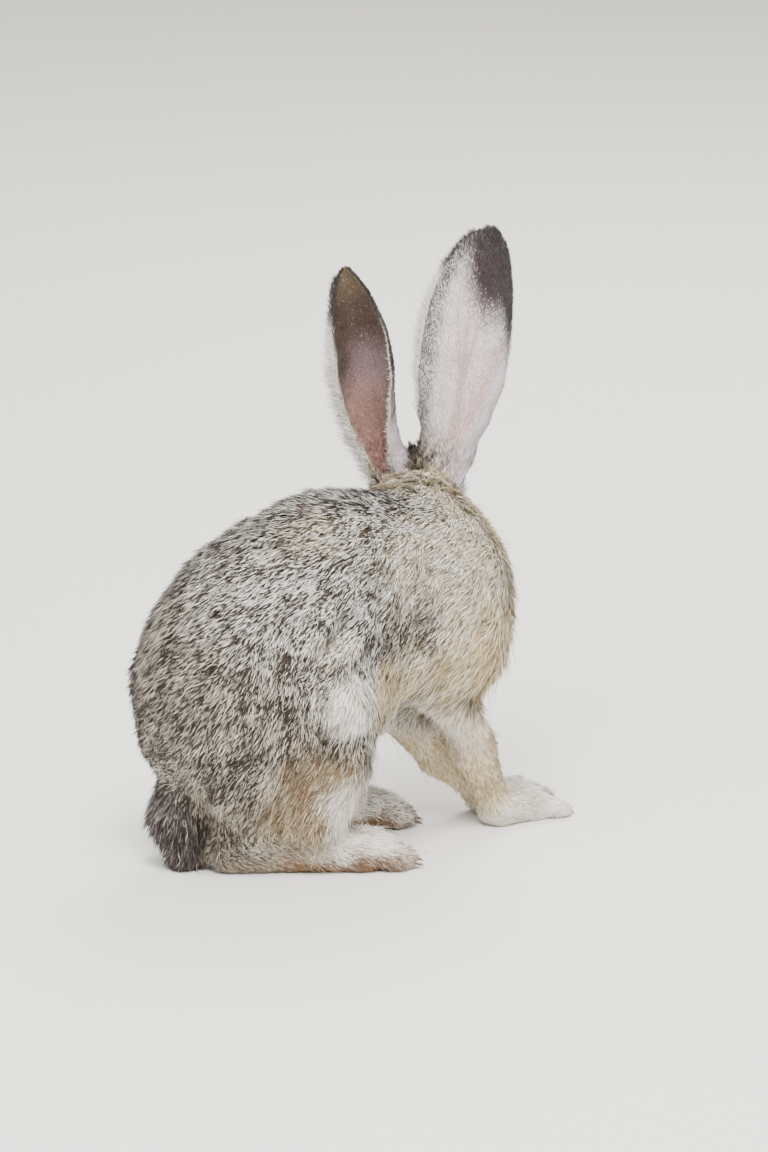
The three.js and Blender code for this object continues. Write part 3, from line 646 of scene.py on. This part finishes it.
class Skin:
    """The skin's parts, gathered with what grows at each point."""

    def __init__(self):
        self.points, self.faces, self.hairs, self.lie = [], [], [], []
        self.measures = []  # length, width, lift and number to a square millimetre
        self.count = 0

    def add(self, points, faces, hairs, lie, length, width, lift, crowd):
        blank = np.zeros(len(points))
        self.points.append(points)
        self.faces += [[self.count + i for i in face] for face in faces]
        self.hairs.append(hairs)
        self.lie.append(lie + np.zeros((len(points), 3)))
        self.measures.append(np.stack([blank + length, blank + width, blank + lift, blank + crowd], axis=1))
        self.count += len(points)


skin = Skin()
face_points = in_head(skin_points)
fine = shares[:, HEAD] * smooth(face_points[:, 0], 5, 50)
long_fur = 1 + 0.12 * waves(skin_points, 22, 3)
long_fur = long_fur + 0.45 * np.exp(-(((skin_points - place(98, -2, 100)) / [34, 50, 30]) ** 2).sum(axis=1))
eye_bare = np.linalg.norm(face_points * [1, 0, 1] + np.abs(face_points) * [0, 1, 0] - EYE_AT, axis=1)
bare = smooth(eye_bare, 10.8, 12.6) + (shares[:, HEAD] < 0.5)
# The mouth line, the cleft of the lip and the nostrils are painted black on bare skin: painted shade in these
# creases and openings
lips, cleft, nostrils = grooves(face_points)
groove = np.clip(1.3 * (0.8 * lips + cleft + 1.2 * nostrils) * shares[:, HEAD], 0, 1)
rhinarium = shares[:, HEAD] * np.exp(-(to_segment(np.abs(face_points), (64, 0, 0.5), NOSTRIL[1]) / 2.6) ** 2)
growth = mixed(mixed(body_hairs(skin_points), "vein", 0.8 * rhinarium), "black", groove)
crown = shares[:, HEAD] * np.exp(-(((face_points - [-16, 0, 27]) / [12, 10, 10]) ** 2).sum(axis=1))
skin.add(skin_points, [*skin_quads.tolist(), *odd_faces], growth, body_lie(skin_points),
         part_values(shares, LENGTH) * long_fur * (1 - 0.5 * fine) + 17 * crown,
         part_values(shares, WIDTH) * (1 - 0.4 * fine),
         part_values(shares, LIFT) + 42 * crown,
         part_values(shares, CROWD) * (1 + 0.8 * fine) * np.clip(bare, 0, 1)
         * (1 - groove) * (1 - 0.9 * np.clip(rhinarium, 0, 1)))

for ear in EARS.values():
    points, quads, along, out, face = ear_sheet(ear)
    _, axis, facing, across, _ = ear_axes(*ear[:3])
    lie = axis + 0.3 * out[:, None] * across + 0.2 * np.where(face > 0, 0, 1)[:, None] * out[:, None] * across
    base = smooth(-along, -0.2, -0.02)
    skin.add(points, quads.tolist(), ear_hairs(ear[0], along, out, face), lie,
             np.where(face > 0, 2.8, 2.4) + 5 * base, 0.46 + 0.35 * base, 8 + 9 * base,
             np.where(face > 0, 3.6, 1.4))
for side in (-1, 1):
    points, quads, ring = lids(side)
    weights = mixed(np.tile(hair("cream"), (len(points), 1)), "black", smooth(ring, 1.6, 3.2))
    skin.add(points, quads.tolist(), weights, -HEAD_AXES[0], 1.9, 0.45, 10, 9.0 * smooth(-ring, -3.0, -1.5))

all_points = np.concatenate(skin.points)
hairs = np.concatenate(skin.hairs)
lies = np.concatenate(skin.lie)
measures = np.concatenate(skin.measures)


# The pieces
def piece(name, points, faces, replaced=()):
    mesh = bpy.data.meshes.new(name)
    mesh.from_pydata((points * MM).tolist(), [], faces)
    mesh.polygons.foreach_set("use_smooth", [True] * len(mesh.polygons))
    made = bpy.data.objects.new(name, mesh)
    bpy.context.scene.collection.objects.link(made)
    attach(made, "root")
    if replaced:
        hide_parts(*replaced)
    return made


def coloured(mesh, colours):
    layer = mesh.color_attributes.new("hair_colour", "FLOAT_COLOR", "POINT")
    layer.data.foreach_set("color", np.column_stack([colours, np.ones(len(colours))]).ravel())


def unwrapped(made):
    """The unwrap of the skin's own shape, as a place for each corner of its faces."""
    bpy.context.view_layer.objects.active = made
    made.select_set(True)
    made.data.uv_layers.new(name="OFBake")
    bpy.ops.object.mode_set(mode="EDIT")
    bpy.ops.mesh.select_all(action="SELECT")
    bpy.ops.uv.smart_project(angle_limit=math.radians(66), island_margin=0.001)
    bpy.ops.object.mode_set(mode="OBJECT")
    made.select_set(False)
    flat = np.empty(2 * len(made.data.loops), np.float32)
    made.data.uv_layers["OFBake"].data.foreach_get("uv", flat)
    return flat.reshape(-1, 2)


body = piece("skin", all_points, skin.faces, [*FLESH, "ear_right", "ear_left"])
coloured(body.data, (hairs @ HAIR_COLOURS[:, :2].mean(axis=1)) * 0.9)
skin_map = unwrapped(body)

body.data.calc_loop_triangles()
triangle_points = np.empty(3 * len(body.data.loop_triangles), np.int32)
triangle_corners = np.empty(3 * len(body.data.loop_triangles), np.int32)
body.data.loop_triangles.foreach_get("vertices", triangle_points)
body.data.loop_triangles.foreach_get("loops", triangle_corners)
triangle_points = triangle_points.reshape(-1, 3)
triangle_corners = triangle_corners.reshape(-1, 3)
skin_normals = np.empty(3 * len(body.data.vertices), np.float32)
body.data.vertices.foreach_get("normal", skin_normals)
skin_normals = skin_normals.reshape(-1, 3).astype(float)

# The roots of the tufts, scattered over the skin as thickly as each part's coat grows
thinning = 1.0
corners = all_points[triangle_points]
area = np.linalg.norm(np.cross(corners[:, 1] - corners[:, 0], corners[:, 2] - corners[:, 0]), axis=1) / 2
expected = area * measures[triangle_points, 3].mean(axis=1) * thinning
chosen = np.repeat(np.arange(len(area)), draw.poisson(expected))
first, second = np.sqrt(draw.random(len(chosen))), draw.random(len(chosen))
weights = np.stack([1 - first, first * (1 - second), first * second], axis=1)


def blend(values):
    return (values[triangle_points[chosen]] * weights[:, :, None]).sum(axis=1)


roots = blend(all_points)
normals = unit(blend(skin_normals))
lie = blend(lies) + 0.17 * draw.normal(size=(len(chosen), 3))
lie = unit(lie - (lie * normals).sum(axis=1, keepdims=True) * normals)
length, width, lift, _ = blend(measures).T
length *= draw.uniform(0.7, 1.25, len(chosen))
width *= draw.uniform(0.7, 1.2, len(chosen)) / math.sqrt(thinning)
lift = np.radians(lift + draw.normal(0, 5, len(chosen)))
clumping = 1.3 * np.stack([waves(roots, 4.5, 50 + i) for i in range(3)], axis=1)  # draws the tips together
root_map = (skin_map[triangle_corners[chosen]] * weights[:, :, None]).sum(axis=1)

# Salt and pepper: some tips are dark, some are pale, and the shade drifts over the coat
growing = blend(hairs)
single = (np.cumsum(growing, axis=1) > draw.random(len(chosen))[:, None]).argmax(axis=1)
bands = 0.5 * np.einsum("nk,kbc->nbc", growing, HAIR_COLOURS) + 0.5 * HAIR_COLOURS[single]
kind = draw.random(len(chosen)) + 0.20 * waves(roots, 7, 5) + 0.10 * waves(roots, 24, 7)
darker = (kind < 0.39)[:, None]
paler = (kind > 0.72)[:, None]
tone = 1 + 0.13 * draw.normal(size=len(chosen)) + 0.10 * waves(roots, 17, 6) + 0.07 * waves(roots, 5, 8)
bands[:, 2] = np.where(darker, bands[:, 1] * 1.1, bands[:, 2])
bands[:, 1] = np.where(paler, 0.35 * bands[:, 1] + 0.65 * bands[:, 2], bands[:, 1])
bands = np.clip(bands * tone[:, None, None], 0.01, 0.95)


FLOOR_GAP = 0.2  # no hair goes lower
ROOT_SINK = 0.35  # how deep a tuft starts under the skin
MAP_PATCH = 0.0015  # half the width of a tuft in the map of its colours


def tufts(name, pick):
    """Thin tapered tufts, each of a root, a middle and a tip, joined in one mesh."""
    root, normal, forward = roots[pick], normals[pick], lie[pick]
    long, wide, angle = length[pick, None], width[pick, None], lift[pick, None]
    aside = np.cross(normal, forward)
    base = root - ROOT_SINK * normal
    drawn = clumping[pick] * long / 10
    middle = root + 0.52 * long * forward + 0.62 * long * np.sin(angle) * normal + 0.4 * drawn
    tip = root + long * np.cos(angle) * forward + 0.92 * long * np.sin(angle) * normal + drawn
    points = np.stack([base - 0.36 * wide * aside, base + 0.36 * wide * aside, middle - 0.5 * wide * aside,
                       middle + 0.5 * wide * aside, tip], axis=1)
    points[:, :, 2] = np.maximum(points[:, :, 2], FLOOR_GAP)
    count = len(points)
    faces = (np.array([[0, 3, 1], [0, 2, 3], [2, 4, 3]]) + 5 * np.arange(count)[:, None, None]).reshape(-1, 3)
    made = piece(name, points.reshape(-1, 3), faces.tolist())
    colours = bands[pick][:, [0, 0, 1, 1, 2]]
    coloured(made.data, colours.reshape(-1, 3))
    facing = unit(normal + 0.22 * draw.normal(size=(count, 3)))
    made.data.normals_split_custom_set_from_vertices(np.repeat(facing, 5, axis=0).tolist())
    patch = MAP_PATCH * np.array([[-1, -1], [1, -1], [-1, 0], [1, 0], [0, 1]])
    spots = np.clip(root_map[pick][:, None] + patch, 0, 1).reshape(-1, 2)
    made.data.uv_layers.new(name="OFBake").data.foreach_set("uv", spots[faces.ravel()].ravel())
    return made


LARGEST = 64000  # tufts in one piece
order = draw.permutation(len(chosen))
coats = [tufts(f"coat_{number + 1}", pick)
         for number, pick in enumerate(np.array_split(order, math.ceil(len(order) / LARGEST)))]
print("tufts", len(chosen), "pieces", len(coats))


# Long hairs: whiskers, wisps, and the fringes of the ears
def strands(name, roots, directions, lengths, widths, bends, colours, steps):
    """Round, tapering, bent hairs of three sides."""
    directions = unit(directions)
    aside = unit(np.cross(directions, [0.13, 0.21, 0.97]))
    other = np.cross(directions, aside)
    share = np.linspace(0, 1, steps + 1)
    line = roots[:, None] + lengths[:, None, None] * (share[:, None] * directions[:, None]
                                                      + (share ** 2)[:, None] * bends[:, None])
    radius = widths[:, None] / 2 * (1 - share ** 1.5)[None, :] + 0.02
    turn = np.linspace(0, 2 * np.pi, 3, endpoint=False)
    ring = np.cos(turn)[None, :, None] * aside[:, None] + np.sin(turn)[None, :, None] * other[:, None]
    points = line[:, :, None] + radius[:, :, None, None] * ring[:, None]
    one = np.arange((steps + 1) * 3).reshape(steps + 1, 3)
    ahead = np.roll(one, -1, axis=1)
    quads = np.stack([one[:-1], ahead[:-1], ahead[1:], one[1:]], axis=-1).reshape(-1, 4)
    faces = (quads[None] + 3 * (steps + 1) * np.arange(len(roots))[:, None, None]).reshape(-1, 4)
    points[..., 2] = np.maximum(points[..., 2], FLOOR_GAP)
    made = piece(name, points.reshape(-1, 3), faces.tolist())
    coloured(made.data, np.repeat(colours, 3 * (steps + 1), axis=0))
    return made


def whiskers():
    roots, directions, bends = [], [], []
    for side in (-1, 1):
        for row in range(4):
            for place_in_row in range(5):
                roots.append([56 - 3.2 * place_in_row + row, side * (10.5 + 0.7 * place_in_row),
                              2.6 - 2.6 * row])
                fan = 0.02 - 0.26 * place_in_row
                directions.append([fan, side * 0.95, 0.14 - 0.22 * row])
                bends.append([-0.32, -side * 0.05, -0.16])
    count = len(roots)
    directions = np.array(directions) + 0.07 * draw.normal(size=(count, 3))
    lengths = draw.uniform(34, 62, count)
    tones = np.where(draw.random(count) < 0.6, 0.72, 0.12)[:, None] * np.array([[1.0, 0.96, 0.90]])
    return strands("whiskers", from_head(roots), directions @ HEAD_AXES, lengths, np.full(count, 0.42),
                   np.array(bends) @ HEAD_AXES, tones, 10)


WISPS = 4000
WISPY = [  # where they grow: the middle of each place, and its reach each way
    ((104, -4, 104), (34, 44, 34)), ((50, -38, 88), (40, 24, 12)),
    ((70, 36, 88), (40, 24, 12)), ((-6, -62, 96), (20, 22, 12)),
    ((26, 62, 94), (20, 22, 12)), ((-16, -58, 46), (34, 22, 36)),
    ((16, 58, 46), (34, 22, 36)), ((84, 6, 190), (30, 34, 30)),
]


def wisps():
    """Long fine hairs on the chest, the belly, the knees and the lower legs."""
    wanted = np.zeros(len(roots))
    for at, reach in WISPY:
        wanted += np.exp(-(((roots - place(*at)) / reach) ** 2).sum(axis=1))
    pick = draw.choice(len(roots), WISPS, replace=False, p=wanted / wanted.sum())
    directions = lie[pick] + 0.24 * normals[pick] + 0.16 * draw.normal(size=(WISPS, 3))
    lengths = draw.uniform(12, 20, WISPS) * np.clip(length[pick] / 8, 0.5, 1.2)
    bends = [0, 0, -0.25] + 0.14 * draw.normal(size=(WISPS, 3))
    colours = 0.4 * bands[pick, 1] + 0.6 * bands[pick, 2]
    return strands("wisps", roots[pick], directions, lengths, np.full(WISPS, 0.4), bends, colours, 4)


FRONT_FRINGE, HIND_FRINGE = (2800, 13.0), (800, 4.0)  # hairs on a margin, and their greatest length


def fringes():
    """Pale hairs along both margins of each ear, dark near its tip."""
    roots, directions, lengths, colours = [], [], [], []
    for ear in EARS.values():
        _, axis, facing, across, _ = ear_axes(*ear[:3])
        for margin in (-1.0, 1.0):
            front = -ear[0] * margin > 0
            count, longest = FRONT_FRINGE if front else HIND_FRINGE
            along = draw.uniform(0.02, 0.97, count)
            edge = np.full(count, margin)
            root = ear_points(ear, along, edge, 0)
            outward = unit(root - ear_points(ear, along, edge * 0.9, 0))
            stray = 0.22 * draw.normal(size=(count, 3))
            if front and ear[0] > 0:  # this margin is rolled in, so its hairs spread off its back
                behind = unit(ear_points(ear, along, edge, 1) - ear_points(ear, along, edge, -1))
                directions.append(0.55 * behind - 0.5 * outward + 0.6 * axis + stray)
            else:
                directions.append(0.75 * outward + 0.7 * axis + 0.25 * facing + stray)
            roots.append(root)
            long = longest * (1 - 0.65 * smooth(along, 0.55, 0.9))
            lengths.append(long * draw.uniform(0.5, 1.15, count))
            dark = smooth(along, 0.74, 0.84)[:, None]
            tone = draw.uniform(0.75, 1.0, count)[:, None]
            colours.append(tone * ((1 - dark) * [[0.90, 0.86, 0.80]] + dark * [[0.05, 0.04, 0.04]]))
    roots, directions = np.concatenate(roots), np.concatenate(directions)
    return strands("ear_fringes", roots, directions, np.concatenate(lengths), np.full(len(roots), 0.36),
                   0.12 * draw.normal(size=(len(roots), 3)), np.concatenate(colours), 3)


# Eyeballs, each with the low dome of its cornea
def eyeball(name, side):
    rings, steps = 40, 48
    centre, level, upward, gaze = eye_axes(side)
    polar = np.linspace(0, np.pi, rings + 1)
    turn = np.linspace(0, 2 * np.pi, steps, endpoint=False)
    dome = 0.9 * np.clip(1 - (polar / math.radians(44)) ** 2, 0, 1)
    reach = EYE_RADIUS - 0.1 + dome
    flat = np.outer(np.sin(polar) * reach, np.cos(turn))[..., None] * level
    flat = flat + np.outer(np.sin(polar) * reach, np.sin(turn))[..., None] * upward
    points = centre + flat + (np.cos(polar) * reach)[:, None, None] * gaze
    points = points[1:-1].reshape(-1, 3)
    grid = np.arange(len(points)).reshape(rings - 1, steps)
    ahead = np.roll(grid, -1, axis=1)
    faces = np.stack([grid[:-1], grid[1:], ahead[1:], ahead[:-1]], axis=-1).reshape(-1, 4)
    if side < 0:
        faces = faces[:, ::-1]
    poles = np.array([centre + gaze * reach[0], centre - gaze * reach[-1]])
    top = [[len(points), a, b] for a, b in zip(grid[0], ahead[0])]
    foot = [[len(points) + 1, b, a] for a, b in zip(grid[-1], ahead[-1])]
    if side < 0:
        top, foot = [f[::-1] for f in top], [f[::-1] for f in foot]
    made = piece(name.replace("eye", "eyeball"), from_head(np.concatenate([points, poles])),
                 faces.tolist() + top + foot, [name])
    angle = np.concatenate([np.repeat(polar[1:-1], steps), [0, np.pi]])
    layer = made.data.attributes.new("from_gaze", "FLOAT", "POINT")
    layer.data.foreach_set("value", angle)
    return made


# Claws: four to a foot, curved and tapering
def claws():
    points, faces = [], []
    for ball, toes, toe_radius, radius, length in FEET.values():
        forward = (toes - ball) * [1, 1, 0]
        reach = np.linalg.norm(forward)
        forward = forward / reach
        across = np.array([-forward[1], forward[0], 0])
        for spot in (-1.5, -0.5, 0.5, 1.5):
            ahead = unit(forward - 0.09 * -spot * across)
            end = ball * [1, 1, 0] + forward * reach * (1.05 - 0.11 * abs(spot))
            end = end + across * spot * toe_radius * TOE_SPACING
            start = sum(len(block) for block in points)
            for step in range(9):
                share = step / 8
                at = end + ahead * (length * share - 4.5) + [0, 0, radius + 3.0 - 3.2 * share ** 2]
                size = radius * (1 - share ** 1.6) + 0.08
                turn = np.linspace(0, 2 * np.pi, 10, endpoint=False)
                ring = np.outer(np.cos(turn) * size * 0.75, np.cross(ahead, [0, 0, 1]))
                ring = ring + np.outer(np.sin(turn) * size, [0, 0, 1])
                points.append(at + ring)
            for step in range(8):
                for i in range(10):
                    a, b = start + 10 * step + i, start + 10 * step + (i + 1) % 10
                    faces.append([a, b, b + 10, a + 10])
            faces.append([start + 80 + i for i in range(10)])
            faces.append([start + 9 - i for i in range(10)])
    return piece("claws", np.concatenate(points), faces)


hair_strands = [whiskers(), fringes(), wisps()]
balls = [eyeball("eye_right", -1), eyeball("eye_left", 1)]
nails = claws()


# Materials
def material(name, roughness, **values):
    made = bpy.data.materials.new(name)
    made.use_nodes = True
    shader = made.node_tree.nodes["Principled BSDF"]
    shader.inputs["Roughness"].default_value = roughness
    for socket, value in values.items():
        shader.inputs[socket.replace("_", " ")].default_value = value
    return made, made.node_tree, shader


def joined(tree, kind, links=(), **values):
    node = tree.nodes.new(kind)
    for name, value in values.items():
        setattr(node, name, value)
    for socket, source in links:
        if isinstance(source, (int, float, tuple)):
            node.inputs[socket].default_value = source
        else:
            tree.links.new(source, node.inputs[socket])
    return node


def noise(tree, scale, detail=3.0):
    where = joined(tree, "ShaderNodeTexCoord")
    return joined(tree, "ShaderNodeTexNoise",
                  [("Vector", where.outputs["Object"]), ("Scale", scale), ("Detail", detail)])


def brightened(tree, colour, factor, low, high):
    """The colour, lighter and darker with a pattern."""
    span = joined(tree, "ShaderNodeMapRange", [("Value", factor), ("To Min", low), ("To Max", high)])
    return joined(tree, "ShaderNodeVectorMath", [(0, colour), (1, span.outputs["Result"])],
                  operation="MULTIPLY")


def coat_material(name, roughness, scale, low, high, bump):
    made, tree, shader = material(name, roughness, Specular_IOR_Level=0.25, Sheen_Weight=0.12,
                                  Sheen_Roughness=0.5)
    colour = joined(tree, "ShaderNodeAttribute", attribute_name="hair_colour").outputs["Color"]
    grain = noise(tree, scale)
    shade = brightened(tree, colour, grain.outputs["Fac"], low, high)
    tree.links.new(shade.outputs["Vector"], shader.inputs["Base Color"])
    if bump:
        raised = joined(tree, "ShaderNodeBump", [("Height", grain.outputs["Fac"]), ("Distance", bump)])
        tree.links.new(raised.outputs["Normal"], shader.inputs["Normal"])
    return made


def eye_material():
    made, tree, shader = material("wet_eye", 0.05, Specular_IOR_Level=0.16, Coat_Weight=0.12,
                                  Coat_Roughness=0.02)
    angle = joined(tree, "ShaderNodeAttribute", attribute_name="from_gaze").outputs["Fac"]
    rays = noise(tree, 900.0, 2.0)
    ramp = joined(tree, "ShaderNodeValToRGB", [("Fac", angle)])
    # The pupil, the iris and the dark rim, by the angle from the gaze in radians
    stops = [(0.0, (0.002, 0.0015, 0.001, 1)), (0.44, (0.002, 0.0015, 0.001, 1)),
             (0.48, (0.10, 0.045, 0.012, 1)), (0.66, (0.21, 0.105, 0.03, 1)),
             (0.78, (0.06, 0.03, 0.012, 1)), (0.88, (0.008, 0.006, 0.005, 1))]
    elements = ramp.color_ramp.elements
    for i, (position, colour) in enumerate(stops):
        stop = elements[i] if i < 2 else elements.new(position)
        stop.position, stop.color = position, colour
    shade = brightened(tree, ramp.outputs["Color"], rays.outputs["Fac"], 0.6, 1.4)
    tree.links.new(shade.outputs["Vector"], shader.inputs["Base Color"])
    return made


def grained(name, roughness, scale, dark, light):
    """A material of two tones in a soft grain."""
    made, tree, shader = material(name, roughness)
    grain = noise(tree, scale)
    ramp = joined(tree, "ShaderNodeValToRGB", [("Fac", grain.outputs["Fac"])])
    ramp.color_ramp.elements[0].color = dark
    ramp.color_ramp.elements[1].color = light
    tree.links.new(ramp.outputs["Color"], shader.inputs["Base Color"])
    return made


under = coat_material("undercoat", 0.85, 900.0, 0.7, 1.25, 0.0006)
fur = coat_material("fur", 0.62, 1500.0, 0.85, 1.15, 0)
body.data.materials.append(under)
for hairy in coats + hair_strands:
    hairy.data.materials.append(fur)
for ball in balls:
    ball.data.materials.append(eye_material())
nails.data.materials.append(grained("horn", 0.38, 700.0, (0.030, 0.022, 0.018, 1), (0.12, 0.09, 0.07, 1)))


# The floor, the light and the camera
def floor():
    mesh = bpy.data.meshes.new("floor")
    mesh.from_pydata([(-9, -9, 0), (9, -9, 0), (9, 9, 0), (-9, 9, 0)], [], [[0, 1, 2, 3]])
    made = bpy.data.objects.new("floor", mesh)
    bpy.context.scene.collection.objects.link(made)
    mesh.materials.append(grained("floor_paper", 0.9, 3.0, (0.78, 0.765, 0.73, 1), (0.82, 0.805, 0.77, 1)))


def lamp(name, at, aim, size, power):
    light = bpy.data.lights.new(name, "AREA")
    light.size = size
    light.energy = power
    made = bpy.data.objects.new(name, light)
    made.location = at
    made.rotation_euler = (Vector(aim) - Vector(at)).to_track_quat("-Z", "Y").to_euler()
    bpy.context.scene.collection.objects.link(made)


def studio():
    world = bpy.data.worlds.new("studio")
    world.use_nodes = True
    world.node_tree.nodes["Background"].inputs["Color"].default_value = (1.0, 0.985, 0.955, 1)
    world.node_tree.nodes["Background"].inputs["Strength"].default_value = 0.95
    bpy.context.scene.world = world
    lamp("key", (-0.5, -1.1, 2.1), (0, 0, 0.15), 1.0, 112)
    lamp("rim", (0.9, 1.3, 1.6), (0, 0, 0.2), 1.0, 45)
    lamp("fill", (1.6, -1.3, 0.9), (0, 0, 0.15), 1.4, 16)


CAMERA_AZIMUTH = math.radians(-20)
CAMERA_ELEVATION = math.radians(15)
CAMERA_DISTANCE = 6.0
PHOTO_HEIGHT = 1152  # pixels
SCALE = 1.65  # pixels to the millimetre at the hare
FRAME_MIDDLE = (32.7, 166.1)  # across and up from the foot of the hare's own axis, before it was moved


def camera():
    a, e = CAMERA_AZIMUTH, CAMERA_ELEVATION
    back = np.array([math.sin(a) * math.cos(e), -math.cos(a) * math.cos(e), math.sin(e)])
    right = np.array([math.cos(a), math.sin(a), 0])
    up = np.cross(back, right)
    aim = (FRAME_MIDDLE[0] * right + FRAME_MIDDLE[1] * up + SHIFT) * MM
    lens = bpy.data.cameras.new("camera")
    lens.sensor_fit = "VERTICAL"
    lens.sensor_height = 24
    lens.lens = lens.sensor_height * CAMERA_DISTANCE / (PHOTO_HEIGHT / SCALE * MM)
    lens.clip_end = 60
    made = bpy.data.objects.new("camera", lens)
    made.location = aim + CAMERA_DISTANCE * back
    made.rotation_euler = Vector(back).to_track_quat("Z", "Y").to_euler()
    bpy.context.scene.collection.objects.link(made)
    bpy.context.scene.camera = made


floor()
studio()
camera()
